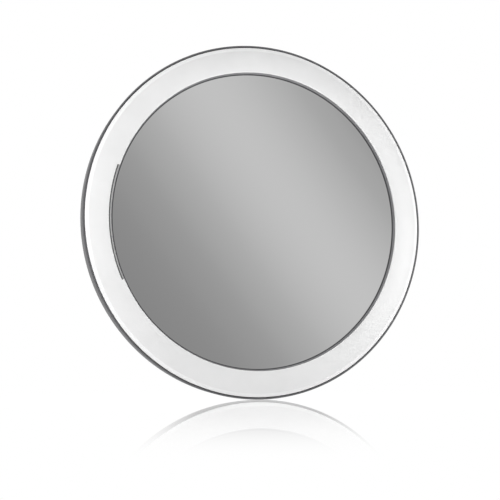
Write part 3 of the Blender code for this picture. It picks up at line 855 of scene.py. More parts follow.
@dataclass(frozen=True)
class HeadSizes:
    """Sizes that the pieces of the head share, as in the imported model."""

    fit_gap: float = 0.3 * MM
    rim_radius: float = 75.0 * MM
    lip_thickness: float = 0.7 * MM
    face_width: float = 10.7 * MM
    glass_lap: float = 1.3 * MM
    glass_thickness: float = 2.3 * MM
    glass_curve_radius: float = 600.0 * MM
    gasket_flange: float = 0.4 * MM
    gasket_wall: float = 1.1 * MM
    cover_lip: float = 1.0 * MM
    bevel_rise: float = 0.6 * MM
    rebate_depth: float = 2.0 * MM
    boss_face: float = 17.1 * MM
    boss_height: float = 1.2 * MM
    housing_wall: float = 1.8 * MM
    wall_draft: float = math.radians(3.0)
    pad_height: float = 1.8 * MM
    ledge_drop: float = 0.9 * MM
    ledge_thickness: float = 1.0 * MM
    barb_height: float = 1.4 * MM
    catch_bite: float = 0.55 * MM

    @property
    def ring_radius(self) -> float:
        """Outer radius of the bezel ring."""
        return self.rim_radius - self.lip_thickness - self.fit_gap

    @property
    def opening_radius(self) -> float:
        """Radius of the ring's opening."""
        return self.ring_radius - self.face_width

    @property
    def glass_radius(self) -> float:
        """Radius of the glass."""
        return self.opening_radius + self.glass_lap

    @property
    def gasket_radius(self) -> float:
        """Outer radius of the gasket."""
        return self.glass_radius + self.fit_gap + self.gasket_wall

    @property
    def back_face(self) -> float:
        """Stand of the back of the dish."""
        return self.boss_face + self.boss_height

    @property
    def floor_face(self) -> float:
        """Stand of the floor inside the dish."""
        return self.back_face + self.housing_wall

    def glass_front(self, radius: float) -> float:
        """Stand of the glass's front at a radius."""
        middle = self.glass_back(0.0) + self.glass_thickness
        return middle + hollow_rise(radius, self.glass_curve_radius)

    def glass_back(self, radius: float) -> float:
        """Stand of the glass's back at a radius. It curves about the same point as the front."""
        middle = self.floor_face + self.pad_height + 2.0 * self.fit_gap
        return middle + hollow_rise(radius, self.glass_curve_radius + self.glass_thickness)

    @property
    def gasket_front(self) -> float:
        """Stand of the gasket's front face."""
        return self.glass_front(self.glass_radius) + self.fit_gap + self.gasket_flange

    @property
    def gasket_rear(self) -> float:
        """Stand of the gasket's rear face."""
        return self.glass_back(self.glass_radius) - self.fit_gap - self.gasket_flange

    @property
    def cover_underside(self) -> float:
        """Stand of the underside of the ring's lip over the gasket."""
        return self.gasket_front + self.fit_gap

    @property
    def ring_edge(self) -> float:
        """Stand of the ring's face at its opening and at its bevel."""
        return self.cover_underside + self.cover_lip

    @property
    def lip_front(self) -> float:
        """Stand of the dish's lip."""
        return self.ring_edge - self.bevel_rise

    @property
    def shoulder(self) -> float:
        """Stand of the shoulder that the ring's foot rests on."""
        return self.lip_front - self.rebate_depth

    def skin_radius(self, stand: float) -> float:
        """Radius of the dish's drafted outer wall at a stand."""
        return self.rim_radius - (self.lip_front - stand) * math.tan(self.wall_draft)

    def inside_radius(self, stand: float) -> float:
        """Radius of the inner face of the dish's wall at a stand."""
        return self.skin_radius(stand) - self.housing_wall

    @property
    def ledge_top(self) -> float:
        """Stand of the top of the catch ledge."""
        return self.shoulder - self.ledge_drop

    @property
    def ledge_base(self) -> float:
        """Stand of the underside of the catch ledge."""
        return self.ledge_top - self.ledge_thickness

    @property
    def barb_base(self) -> float:
        """Stand of the lowest point of the snap hooks."""
        return self.ledge_base - self.fit_gap - self.barb_height

    @property
    def barb_radius(self) -> float:
        """Outer radius of the snap hooks."""
        return self.inside_radius(self.barb_base) - self.fit_gap

    @property
    def ledge_radius(self) -> float:
        """Inner radius of the catch ledge."""
        return self.barb_radius - self.catch_bite


@dataclass(frozen=True)
class KeyholeSizes:
    """Sizes of the keyholes, and of what slides in them."""

    circle_radius: float = 38.0 * MM
    travel: float = 9.0 * MM
    slot_half: float = 2.9 * MM
    entry_radius: float = 5.7 * MM
    track_half: float = 6.1 * MM
    boss_half: float = 7.5 * MM
    steps: int = 24

    def place(self, side: Side) -> Point:
        """(x, z) of a pin in the narrow end of its keyhole."""
        angle = math.radians(side.value)
        return (self.circle_radius * math.cos(angle), self.circle_radius * math.sin(angle))

    def stadium(self, side: Side, half: float) -> Section:
        """Outline of a slot with round ends that goes down from a pin's place.

        Args:
            side: the pin.
            half: half the slot's width.

        Returns:
            The outline's (x, z) points.
        """
        x, z = self.place(side)
        upper = arc((x, z), half, 0.0, math.pi, self.steps)
        return upper + arc((x, z - self.travel), half, math.pi, math.tau, self.steps)

    def keyhole(self, side: Side) -> Section:
        """Outline of a slot that goes down from a pin's place into a round entry.

        Args:
            side: the pin.

        Returns:
            The outline's (x, z) points.
        """
        x, z = self.place(side)
        meet = math.asin(self.slot_half / self.entry_radius)
        first = 0.5 * math.pi + meet
        last = first + math.tau - 2.0 * meet
        upper = arc((x, z), self.slot_half, 0.0, math.pi, self.steps)
        return upper + arc((x, z - self.travel), self.entry_radius, first, last, 2 * self.steps)


@dataclass
class RearHousing:
    """The moulded dish, with its rib, its catch ledge and the bosses of the keyholes."""

    head: HeadSizes
    keyholes: KeyholeSizes
    corner_radius: float = 6.0 * MM
    lip_round: float = 0.25 * MM
    edge_round: float = 0.25 * MM
    root_round: float = 0.6 * MM
    rib_thickness: float = 1.4 * MM
    hub_radius: float = 12.0 * MM
    spoke_thickness: float = 1.2 * MM
    spoke_height: float = 1.6 * MM
    spoke_count: int = 6
    buttress_count: int = 12
    boss_chamfer: float = 0.5 * MM
    track_height: float = 2.2 * MM
    root_depth: float = 1.08 * MM
    overrun: float = 1.0 * MM
    pieces: list[bpy.types.Object] = field(default_factory=list)

    def section(self) -> Section:
        """Section of the dish from the middle of its back round its lip to the inside.

        Returns:
            Its (radius, stand) points.
        """
        head = self.head
        back, floor = head.back_face, head.floor_face
        rib_outer = head.glass_radius + 0.5 * self.rib_thickness
        rib_inner = rib_outer - self.rib_thickness
        rib_top = head.gasket_rear - head.fit_gap
        hub_inner = self.hub_radius - self.spoke_thickness
        hub_top = floor + self.spoke_height
        lip_inner = head.rim_radius - head.lip_thickness
        inside_corner = self.corner_radius - head.housing_wall
        corners = [
            Corner(0.0, back),
            Corner(head.skin_radius(back), back, self.corner_radius),
            Corner(head.rim_radius, head.lip_front, self.lip_round),
            Corner(lip_inner, head.lip_front, 0.5 * self.lip_round),
            Corner(lip_inner, head.shoulder),
            Corner(head.inside_radius(head.shoulder), head.shoulder, self.edge_round),
            Corner(head.inside_radius(head.ledge_top), head.ledge_top, self.edge_round),
            Corner(head.ledge_radius, head.ledge_top, self.edge_round),
            Corner(head.ledge_radius, head.ledge_base),
            Corner(head.inside_radius(head.ledge_base), head.ledge_base),
            Corner(head.inside_radius(floor), floor, inside_corner),
            Corner(rib_outer, floor),
            Corner(rib_outer, rib_top, self.edge_round),
            Corner(rib_inner, rib_top, self.edge_round),
            Corner(rib_inner, floor, self.root_round),
            Corner(self.hub_radius, floor, self.root_round),
            Corner(self.hub_radius, hub_top, self.edge_round),
            Corner(hub_inner, hub_top, self.edge_round),
            Corner(hub_inner, floor, self.root_round),
            Corner(0.0, floor),
        ]
        return rounded(corners, closed=False)

    def bar(self, angle: float, reach: Point, top: float) -> list[Loop]:
        """Loops of a straight rib along a radius, rooted in the floor.

        Args:
            angle: the radius's angle in radians.
            reach: where the rib starts and ends along it.
            top: the stand of the rib's top.

        Returns:
            The rib's loops.
        """
        along = Vector((math.cos(angle), math.sin(angle)))
        across = Vector((-math.sin(angle), math.cos(angle))) * 0.5 * self.spoke_thickness
        inner, outer = along * reach[0], along * reach[1]
        corners = (inner - across, outer - across, outer + across, inner + across)
        outline = [tuple(corner) for corner in corners]
        return prism([(outline, self.head.floor_face - self.root_depth), (outline, top)])

    def web(self, angle: float, outline: Section) -> list[Loop]:
        """Loops of a flat rib that stands in the plane of a radius.

        Args:
            angle: the radius's angle in radians.
            outline: the rib's (radius, stand) points.

        Returns:
            The rib's loops.
        """
        turn = Matrix.Rotation(-angle, 3, "Y")
        offset = Vector((0.0, 0.0, 0.5 * self.spoke_thickness))
        flat = [on_section(*point) for point in outline]
        return [[turn @ (point + side * offset) for point in flat] for side in (-1.0, 1.0)]

    def buttress(self) -> Section:
        """Outline of a buttress, rooted in the floor, the corner and the wall of the dish.

        Returns:
            Its (radius, stand) points.
        """
        head = self.head
        corner_stand = head.back_face + self.corner_radius
        corner_centre = head.skin_radius(corner_stand) - self.corner_radius
        inside_corner = self.corner_radius - head.housing_wall
        bend = (inside_corner + self.root_depth) * math.sin(0.25 * math.pi)
        inner = head.glass_radius + 0.5 * (self.rib_thickness - self.spoke_thickness)
        top = head.barb_base - head.fit_gap
        root = head.floor_face - self.root_depth
        return [
            (inner, root),
            (corner_centre, root),
            (corner_centre + bend, corner_stand - bend),
            (head.inside_radius(top) + self.root_depth, top),
            (inner, top),
        ]

    def ribs(self) -> list[list[Loop]]:
        """Shape the spokes of the floor, and the buttresses between the rib and the wall.

        Returns:
            The loops of each of them.
        """
        head = self.head
        half = 0.5 * self.spoke_thickness
        rib_outer = head.glass_radius + 0.5 * self.rib_thickness
        spoke = (self.hub_radius - half, rib_outer - self.rib_thickness + half)
        ribs = []
        for index in range(self.spoke_count):
            angle = math.tau * index / self.spoke_count
            ribs.append(self.bar(angle, spoke, head.floor_face + self.spoke_height))
        for index in range(self.buttress_count):
            angle = math.tau * (index + 0.5) / self.buttress_count
            ribs.append(self.web(angle, self.buttress()))
        return ribs

    def bosses(self) -> list[list[Loop]]:
        """Shape the raised boss round each keyhole on the back.

        Returns:
            The loops of each of them.
        """
        solids = []
        for side in Side:
            edge = self.keyholes.stadium(side, self.keyholes.boss_half - self.boss_chamfer)
            full = self.keyholes.stadium(side, self.keyholes.boss_half)
            levels = [
                (edge, self.head.boss_face),
                (full, self.head.boss_face + self.boss_chamfer),
                (full, self.head.back_face + self.root_depth),
            ]
            solids.append(prism(levels))
        return solids

    def track_mesh(self) -> bpy.types.Mesh:
        """Build the wall round each pin's head inside the dish.

        Returns:
            The three walls in one mesh.
        """
        low = self.head.floor_face - self.root_depth
        high = self.head.floor_face + self.track_height
        bm = bmesh.new()
        for side in Side:
            outer = self.keyholes.stadium(side, self.keyholes.boss_half)
            inner = self.keyholes.stadium(side, self.keyholes.track_half)
            rings = []
            for outline, stand in ((outer, low), (outer, high), (inner, high), (inner, low)):
                rings.append([bm.verts.new((x, -stand, z)) for x, z in outline])
            for near, far in zip(rings, rings[1:] + rings[:1]):
                bridge(bm, near, far)
        return finished_mesh("head_tracks", bm)

    def slots(self) -> list[list[Loop]]:
        """Shape the keyholes, which are cut.

        Returns:
            The loops of each of them.
        """
        low = self.head.boss_face - self.overrun
        high = self.head.floor_face + self.overrun
        outlines = [self.keyholes.keyhole(side) for side in Side]
        return [prism([(outline, low), (outline, high)]) for outline in outlines]

    def build(self) -> list[bpy.types.Object]:
        """Build the dish.

        Returns:
            The piece.
        """
        mesh = turned_mesh("housing_moulding", self.section(), closed=False)
        piece = add_piece("housing_moulding", mesh, "head", "rear_housing")
        combine(piece, lofted_mesh("ribs", self.ribs()), Join.ADD)
        combine(piece, lofted_mesh("bosses", self.bosses()), Join.ADD)
        combine(piece, self.track_mesh(), Join.ADD)
        combine(piece, lofted_mesh("slots", self.slots()), Join.CUT)
        smooth(piece)
        self.pieces = [piece]
        return self.pieces

    def dress(self) -> None:
        """Give the dish its matt grain."""
        coat(self.pieces[0], SparkErodedAbs())


@dataclass
class BezelRing:
    """The opal ring, crowned and bevelled, with its snap hooks and its finger notch."""

    head: HeadSizes
    opening_round: float = 0.3 * MM
    crown_rise: float = 0.5 * MM
    crown_steps: int = 20
    bevel_width: float = 1.45 * MM
    bevel_round: float = 0.08 * MM
    shell: float = 1.6 * MM
    foot_thickness: float = 1.6 * MM
    locating_thickness: float = 1.2 * MM
    locating_length: float = 3.0 * MM
    skirt_thickness: float = 1.5 * MM
    skirt_length: float = 2.2 * MM
    hook_count: int = 8
    hook_width: float = 9.0 * MM
    hook_inset: float = 0.15 * MM
    hook_root: float = 1.2 * MM
    hook_steps: int = 12
    edge_round: float = 0.2 * MM
    # The notch is 0.4 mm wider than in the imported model, as the photograph shows it
    notch_width: float = 1.1 * MM
    notch_depth: float = 0.4 * MM
    notch_start: float = math.radians(161.5)
    notch_end: float = math.radians(204.5)
    notch_steps: int = 60
    overrun: float = 1.0 * MM
    # A face whose normal goes further than this towards -Y faces the user
    facing: float = 0.5
    pieces: list[bpy.types.Object] = field(default_factory=list)

    @property
    def bevel_radius(self) -> float:
        """Radius where the crown ends and the bevel starts."""
        return self.head.ring_radius - self.bevel_width

    @property
    def skirt_outer(self) -> float:
        """Outer radius of the skirt that carries the hooks."""
        return self.head.ledge_radius - self.head.fit_gap

    @property
    def notch_floor(self) -> float:
        """Stand of the floor of the finger notch."""
        return self.head.ring_edge - self.notch_depth

    @property
    def notch_radius(self) -> float:
        """Outer radius of the finger notch."""
        return self.head.opening_radius + self.notch_width

    def crown(self, radius: float) -> float:
        """Stand of the ring's face at a radius, highest midway across.

        Args:
            radius: the distance from the mirror's axis.

        Returns:
            The stand there.
        """
        middle = 0.5 * (self.bevel_radius + self.head.opening_radius)
        share = (radius - middle) / (self.bevel_radius - middle)
        return self.head.ring_edge + self.crown_rise * (1.0 - share**2)

    def section(self) -> Section:
        """Section of the ring, out along its face and back along its hidden side.

        Returns:
            Its (radius, stand) points.
        """
        head = self.head
        opening = head.opening_radius
        face = []
        start = opening + self.opening_round
        for step in range(1, self.crown_steps):
            radius = start + (self.bevel_radius - start) * step / self.crown_steps
            face.append(Corner(radius, self.crown(radius)))
        skirt_inner = self.skirt_outer - self.skirt_thickness
        skirt_root = self.crown(self.skirt_outer) - self.shell
        skirt_base = skirt_root - self.skirt_length
        foot_inner = head.ring_radius - self.foot_thickness
        foot_base = head.shoulder + head.fit_gap
        locating_inner = head.gasket_radius + head.fit_gap
        locating_outer = locating_inner + self.locating_thickness
        locating_base = head.cover_underside - self.locating_length
        corners = [
            Corner(opening, head.ring_edge, self.opening_round),
            *face,
            Corner(self.bevel_radius, head.ring_edge, self.bevel_round),
            Corner(head.ring_radius, head.lip_front, self.bevel_round),
            Corner(head.ring_radius, foot_base, self.edge_round),
            Corner(foot_inner, foot_base, self.edge_round),
            Corner(foot_inner, self.crown(foot_inner) - self.shell),
            Corner(self.skirt_outer, skirt_root),
            Corner(self.skirt_outer, skirt_base, self.edge_round),
            Corner(skirt_inner, skirt_base, self.edge_round),
            Corner(skirt_inner, self.crown(skirt_inner) - self.shell),
            Corner(locating_outer, self.crown(locating_outer) - self.shell),
            Corner(locating_outer, locating_base, self.edge_round),
            Corner(locating_inner, locating_base, self.edge_round),
            Corner(locating_inner, head.cover_underside),
            Corner(opening, head.cover_underside, self.edge_round),
        ]
        return rounded(corners, closed=True)

    def hooks(self) -> list[list[Loop]]:
        """Shape the snap hooks that spring out under the dish's ledge.

        Returns:
            The loops of each of them.
        """
        head = self.head
        inner = self.skirt_outer - self.skirt_thickness + self.hook_inset
        outer = self.skirt_outer - self.hook_inset
        skirt_base = self.crown(self.skirt_outer) - self.shell - self.skirt_length
        barb_top = head.barb_base + head.barb_height
        tongue = [
            (inner, skirt_base + self.hook_root),
            (outer, skirt_base + self.hook_root),
            (outer, barb_top),
            (head.barb_radius, barb_top),
            (outer, head.barb_base),
            (inner, head.barb_base),
        ]
        half = 0.5 * self.hook_width / self.skirt_outer
        middles = [math.tau * (i + 0.5) / self.hook_count for i in range(self.hook_count)]
        return [sector(tongue, m - half, m + half, self.hook_steps) for m in middles]

    def notch(self) -> list[Loop]:
        """Shape the finger notch, which is cut.

        Returns:
            Its loops.
        """
        inner = self.head.opening_radius - self.overrun
        top = self.head.ring_edge + self.crown_rise + self.overrun
        section = [
            (inner, self.notch_floor),
            (self.notch_radius, self.notch_floor),
            (self.notch_radius, top),
            (inner, top),
        ]
        return sector(section, self.notch_start, self.notch_end, self.notch_steps)

    def build(self) -> list[bpy.types.Object]:
        """Build the ring.

        Returns:
            The piece.
        """
        mesh = turned_mesh("ring_moulding", self.section(), closed=True)
        piece = add_piece("ring_moulding", mesh, "head", "bezel_ring")
        combine(piece, lofted_mesh("hooks", self.hooks()), Join.ADD)
        combine(piece, lofted_mesh("notch", [self.notch()]), Join.CUT)
        smooth(piece)
        self.pieces = [piece]
        return self.pieces

    def dress(self) -> None:
        """Coat the face, give the cut edges painted light and the notch's web painted shade."""
        web = NotchWebPaintedShade(inner_radius=self.head.opening_radius, outer_radius=self.notch_radius)
        coat(self.pieces[0], OpalAcrylic(), PolishedAcrylicPaintedLight(), web)
        moulded, polished_and_lit, shaded_web = range(3)
        margin = 0.5 * self.bevel_round
        for face in self.pieces[0].data.polygons:
            radius = math.hypot(face.center.x, face.center.z)
            stand = -face.center.y
            faces_user = -face.normal.y > self.facing
            on_bevel = faces_user and radius > self.bevel_radius - margin
            on_edge = radius < self.head.opening_radius + self.opening_round - margin
            on_floor = faces_user and abs(stand - self.notch_floor) < margin
            face.material_index = moulded
            # Painted light: the bevel and the opening's edge take the whiter finish
            if on_bevel or (on_edge and stand > self.head.cover_underside + margin):
                face.material_index = polished_and_lit
            # Painted shade: the notch's floor takes the grey web finish
            if on_floor and radius < self.notch_radius:
                face.material_index = shaded_web


@dataclass
class MirrorGlass:
    """The concave mirror glass, silvered and painted on its back."""

    head: HeadSizes
    chamfer: float = 0.4 * MM
    ring_count: int = 24
    pieces: list[bpy.types.Object] = field(default_factory=list)

    def section(self) -> Section:
        """Section of the glass, from the middle of its front to the middle of its back.

        Returns:
            Its (radius, stand) points.
        """
        head = self.head
        rim = head.glass_radius - self.chamfer
        radii = [rim * index / self.ring_count for index in range(self.ring_count + 1)]
        front = [(radius, head.glass_front(radius)) for radius in radii]
        back = [(radius, head.glass_back(radius)) for radius in reversed(radii)]
        edge = [
            (head.glass_radius, head.glass_front(head.glass_radius) - self.chamfer),
            (head.glass_radius, head.glass_back(head.glass_radius) + self.chamfer),
        ]
        return front + edge + back

    def build(self) -> list[bpy.types.Object]:
        """Build the glass.

        Returns:
            The piece.
        """
        mesh = turned_mesh("silvered_disc", self.section(), closed=False)
        piece = add_piece("silvered_disc", mesh, "head", "mirror_glass")
        smooth(piece)
        self.pieces = [piece]
        return self.pieces

    def dress(self) -> None:
        """Silver the front, and give the edge and the back their own finishes."""
        coat(self.pieces[0], SilveredGlass(), GroundGlass(), MirrorPaint())
        silvered, ground, painted = range(3)
        rim = self.head.glass_radius - self.chamfer
        for face in self.pieces[0].data.polygons:
            face.material_index = silvered if face.normal.y < 0.0 else painted
            if math.hypot(face.center.x, face.center.z) > rim:
                face.material_index = ground


@dataclass
class GlassGasket:
    """The rubber channel round the glass, whose flange shows inside the ring."""

    head: HeadSizes
    show: float = 0.9 * MM
    lip_gap: float = 0.05 * MM
    lip_edge: float = 0.1 * MM
    rear_reach: float = 1.8 * MM
    edge_round: float = 0.15 * MM
    pieces: list[bpy.types.Object] = field(default_factory=list)

    def section(self) -> Section:
        """Section of the channel, with a soft lip that tapers down to the glass.

        Returns:
            Its (radius, stand) points.
        """
        head = self.head
        inner = head.opening_radius - self.show
        channel = head.glass_radius + head.fit_gap
        rear = head.glass_radius - self.rear_reach
        front_inner = head.gasket_front - head.gasket_flange
        rear_inner = head.gasket_rear + head.gasket_flange
        lip_base = head.glass_front(inner) + self.lip_gap
        corners = [
            Corner(inner, lip_base),
            Corner(inner, lip_base + self.lip_edge, 0.5 * self.lip_edge),
            Corner(head.opening_radius, head.gasket_front, self.edge_round),
            Corner(head.gasket_radius, head.gasket_front, self.edge_round),
            Corner(head.gasket_radius, head.gasket_rear, self.edge_round),
            Corner(rear, head.gasket_rear, self.edge_round),
            Corner(rear, rear_inner),
            Corner(channel, rear_inner),
            Corner(channel, front_inner),
        ]
        return rounded(corners, closed=True)

    def build(self) -> list[bpy.types.Object]:
        """Build the gasket.

        Returns:
            The piece.
        """
        mesh = turned_mesh("gasket_band", self.section(), closed=True)
        piece = add_piece("gasket_band", mesh, "head", "glass_gasket")
        smooth(piece)
        self.pieces = [piece]
        return self.pieces

    def dress(self) -> None:
        """Give the gasket its rubber."""
        opening = self.head.opening_radius
        coat(self.pieces[0], MouldedRubber(lip_radius=opening - self.show, flat_radius=opening))


@dataclass
class FoamPads:
    """The three foam discs that hold the glass forward against the gasket."""

    head: HeadSizes
    circle_radius: float = 34.0 * MM
    pad_radius: float = 10.0 * MM
    steps: int = 48
    # (radius share, height share) round a pad's side: squeezed at both faces, fullest between
    side_shares: tuple[Point, ...] = (
        (0.0, 0.0),
        (0.5, 0.0),
        (0.95, 0.0),
        (0.985, 0.12),
        (1.0, 0.35),
        (1.0, 0.65),
        (0.985, 0.88),
        (0.95, 1.0),
        (0.5, 1.0),
        (0.0, 1.0),
    )
    pieces: list[bpy.types.Object] = field(default_factory=list)

    def loops(self, seat: PadSeat) -> list[Loop]:
        """Lay the rings of a pad, from the middle of its base to the middle of its top.

        Args:
            seat: the pad.

        Returns:
            The points of each ring.
        """
        angle = math.radians(seat.value)
        x, z = self.circle_radius * math.cos(angle), self.circle_radius * math.sin(angle)
        base = self.head.floor_face + self.head.fit_gap
        loops: list[Loop] = []
        for radius_share, height_share in self.side_shares:
            count = 1 if radius_share == 0.0 else self.steps
            ring = []
            for step in range(count):
                turn = math.tau * step / count
                px = x + self.pad_radius * radius_share * math.cos(turn)
                pz = z + self.pad_radius * radius_share * math.sin(turn)
                top = self.head.glass_back(math.hypot(px, pz)) - self.head.fit_gap
                ring.append(Vector((px, -(base + (top - base) * height_share), pz)))
            loops.append(ring)
        return loops

    def build(self) -> list[bpy.types.Object]:
        """Build the pads.

        Returns:
            The pieces.
        """
        self.pieces = []
        for seat in PadSeat:
            side = seat.name.lower()
            mesh = ringed_mesh("foam_disc_" + side, self.loops(seat), closed=False)
            piece = add_piece("foam_disc_" + side, mesh, "head", "foam_pad_" + side)
            smooth(piece)
            self.pieces.append(piece)
        return self.pieces

    def dress(self) -> None:
        """Give the pads their foam."""
        for piece in self.pieces:
            coat(piece, CellFoam())


@dataclass
class CupPins:
    """The pins that link the cups to the dish."""

    head: HeadSizes
    keyholes: KeyholeSizes
    tip: float = 8.4 * MM
    barb_length: float = 1.7 * MM
    tip_radius: float = 1.1 * MM
    barb_radius: float = 2.6 * MM
    stem_radius: float = 1.8 * MM
    waist_radius: float = 2.6 * MM
    flange_radius: float = 6.6 * MM
    flange_thickness: float = 1.2 * MM
    head_radius: float = 5.4 * MM
    head_thickness: float = 1.8 * MM
    flange_round: float = 0.3 * MM
    head_round: float = 0.4 * MM
    root_round: float = 0.2 * MM
    steps: int = 64
    pieces: list[bpy.types.Object] = field(default_factory=list)

    def section(self) -> Section:
        """Section of a pin, from its barbed tip in the cup to its head inside the dish.

        Returns:
            Its (radius, stand) points.
        """
        shoulder = self.tip + self.barb_length
        flange_top = self.head.boss_face - self.head.fit_gap
        flange_base = flange_top - self.flange_thickness
        head_base = self.head.floor_face + self.head.fit_gap
        head_top = head_base + self.head_thickness
        corners = [
            Corner(0.0, self.tip),
            Corner(self.tip_radius, self.tip, self.root_round),
            Corner(self.barb_radius, shoulder, 0.5 * self.root_round),
            Corner(self.stem_radius, shoulder),
            Corner(self.stem_radius, flange_base, self.root_round),
            Corner(self.flange_radius, flange_base, self.root_round),
            Corner(self.flange_radius, flange_top, self.flange_round),
            Corner(self.waist_radius, flange_top, self.root_round),
            Corner(self.waist_radius, head_base, self.root_round),
            Corner(self.head_radius, head_base, self.root_round),
            Corner(self.head_radius, head_top, self.head_round),
            Corner(0.0, head_top),
        ]
        return rounded(corners, closed=False)

    def build(self) -> list[bpy.types.Object]:
        """Build the pins.

        Returns:
            The pieces.
        """
        self.pieces = []
        for side in Side:
            name = side.name.lower()
            place = self.keyholes.place(side)
            mesh = turned_mesh("pin_moulding_" + name, self.section(), False, place, self.steps)
            node, body = "cup_pin_" + name, "pin_" + name
            piece = add_piece("pin_moulding_" + name, mesh, body, node)
            smooth(piece)
            self.pieces.append(piece)
        return self.pieces

    def dress(self) -> None:
        """Give the pins their nylon."""
        for piece in self.pieces:
            coat(piece, MouldedNylon())


@dataclass
class SuctionCups:
    """The clear cups, each with a release tab below its rim."""

    keyholes: KeyholeSizes
    radius: float = 21.0 * MM
    rim_width: float = 1.2 * MM
    rim_thickness: float = 1.2 * MM
    rim_round: float = 0.25 * MM
    hollow_depth: float = 6.5 * MM
    crown_thickness: float = 3.4 * MM
    floor_thickness: float = 1.6 * MM
    neck_radius: float = 4.7 * MM
    neck_length: float = 3.4 * MM
    bead_radius: float = 6.1 * MM
    bead_height: float = 2.0 * MM
    bead_round: float = 0.7 * MM
    bore_radius: float = 2.1 * MM
    pocket_radius: float = 2.9 * MM
    pocket_depth: float = 2.3 * MM
    bell_power: float = 1.6
    bell_steps: int = 22
    hollow_steps: int = 18
    tab_width: float = 9.0 * MM
    tab_reach: float = 6.0 * MM
    tab_thickness: float = 0.8 * MM
    tab_lift: float = 0.2 * MM
    tab_edge: float = 0.15 * MM
    tab_steps: int = 24
    ridge_height: float = 0.5 * MM
    ridge_width: float = 0.7 * MM
    ridge_pitch: float = 1.6 * MM
    ridge_count: int = 2
    ridge_share: float = 0.7
    steps: int = 120
    pieces: list[bpy.types.Object] = field(default_factory=list)

    def hollow(self, radius: float) -> float:
        """Stand of the cup's hollow face at a radius."""
        inner = self.radius - self.rim_width
        return self.hollow_depth * math.cos(0.5 * math.pi * radius / inner)

    def bell(self, radius: float) -> float:
        """Stand of the cup's outer face at a radius.

        Args:
            radius: the distance from the cup's axis.

        Returns:
            The stand there.
        """
        share = (radius - self.neck_radius) / (self.radius - self.neck_radius)
        droop = math.cos(0.5 * math.pi * share) ** self.bell_power
        top = self.hollow_depth + self.crown_thickness
        return self.rim_thickness + (top - self.rim_thickness) * droop

    def section(self) -> Section:
        """Section of a cup, from the middle of its hollow over its neck and down its bore.

        Returns:
            Its (radius, stand) points.
        """
        inner = self.radius - self.rim_width
        hollow = [inner * step / self.hollow_steps for step in range(self.hollow_steps)]
        span = self.neck_radius - self.radius
        bell = [self.radius + span * step / self.bell_steps for step in range(self.bell_steps)]
        neck_top = self.hollow_depth + self.crown_thickness + self.neck_length
        top = neck_top + self.bead_height
        pocket = self.hollow_depth + self.floor_thickness
        corners = [
            *(Corner(radius, self.hollow(radius)) for radius in hollow),
            Corner(inner, 0.0, self.rim_round),
            Corner(self.radius, 0.0, self.rim_round),
            *(Corner(radius, self.bell(radius)) for radius in bell),
            Corner(self.neck_radius, self.bell(self.neck_radius), self.bead_round),
            Corner(self.neck_radius, neck_top, self.rim_round),
            Corner(self.bead_radius, neck_top, self.bead_round),
            Corner(self.bead_radius, top, self.bead_round),
            Corner(self.bore_radius, top, self.rim_round),
            Corner(self.bore_radius, pocket + self.pocket_depth),
            Corner(self.pocket_radius, pocket + self.pocket_depth),
            Corner(self.pocket_radius, pocket),
            Corner(0.0, pocket),
        ]
        return rounded(corners, closed=False)

    def tab(self, place: Point) -> list[list[Loop]]:
        """Shape the release tab and its ridges, below the rim of a cup.

        Args:
            place: the (x, z) of the cup's axis.

        Returns:
            The loops of the tab and of each ridge.
        """
        x, z = place
        half = 0.5 * self.tab_width
        root = z - (self.radius - 0.5 * self.rim_width)
        tip = z - (self.radius + self.tab_reach)
        top = self.tab_lift + self.tab_thickness

        def outline(inset: float) -> Section:
            """The tab's outline, drawn in by an inset."""
            end = arc((x, tip + half), half - inset, math.pi, math.tau, self.tab_steps)
            return [(x + half - inset, root), (x - half + inset, root)] + end

        def bar(middle: float, reach: float, width: float) -> Section:
            """A level bar's outline, by its middle height, half its length, and its width."""
            low, high = middle - 0.5 * width, middle + 0.5 * width
            return [(x + reach, low), (x + reach, high), (x - reach, high), (x - reach, low)]

        levels = [
            (outline(self.tab_edge), self.tab_lift),
            (outline(0.0), self.tab_lift + self.tab_edge),
            (outline(0.0), top - self.tab_edge),
            (outline(self.tab_edge), top),
        ]
        solids = [prism(levels)]
        reach = half * self.ridge_share
        for index in range(self.ridge_count):
            middle = tip + half - (index - 0.5 * (self.ridge_count - 1)) * self.ridge_pitch
            ridge = bar(middle, reach, self.ridge_width)
            crest = bar(middle, reach - self.tab_edge, self.tab_edge)
            levels = [(ridge, 0.5 * top), (ridge, top), (crest, top + self.ridge_height)]
            solids.append(prism(levels))
        return solids

    def build(self) -> list[bpy.types.Object]:
        """Build the cups.

        Returns:
            The pieces.
        """
        self.pieces = []
        for side in Side:
            name = side.name.lower()
            place = self.keyholes.place(side)
            mesh = turned_mesh("cup_moulding_" + name, self.section(), False, place, self.steps)
            node, body = "suction_cup_" + name, "cup_" + name
            piece = add_piece("cup_moulding_" + name, mesh, body, node)
            combine(piece, lofted_mesh("tab", self.tab(place)), Join.ADD)
            smooth(piece)
            self.pieces.append(piece)
        return self.pieces

    def dress(self) -> None:
        """Give the cups their clear vinyl."""
        for piece in self.pieces:
            coat(piece, SoftVinyl())


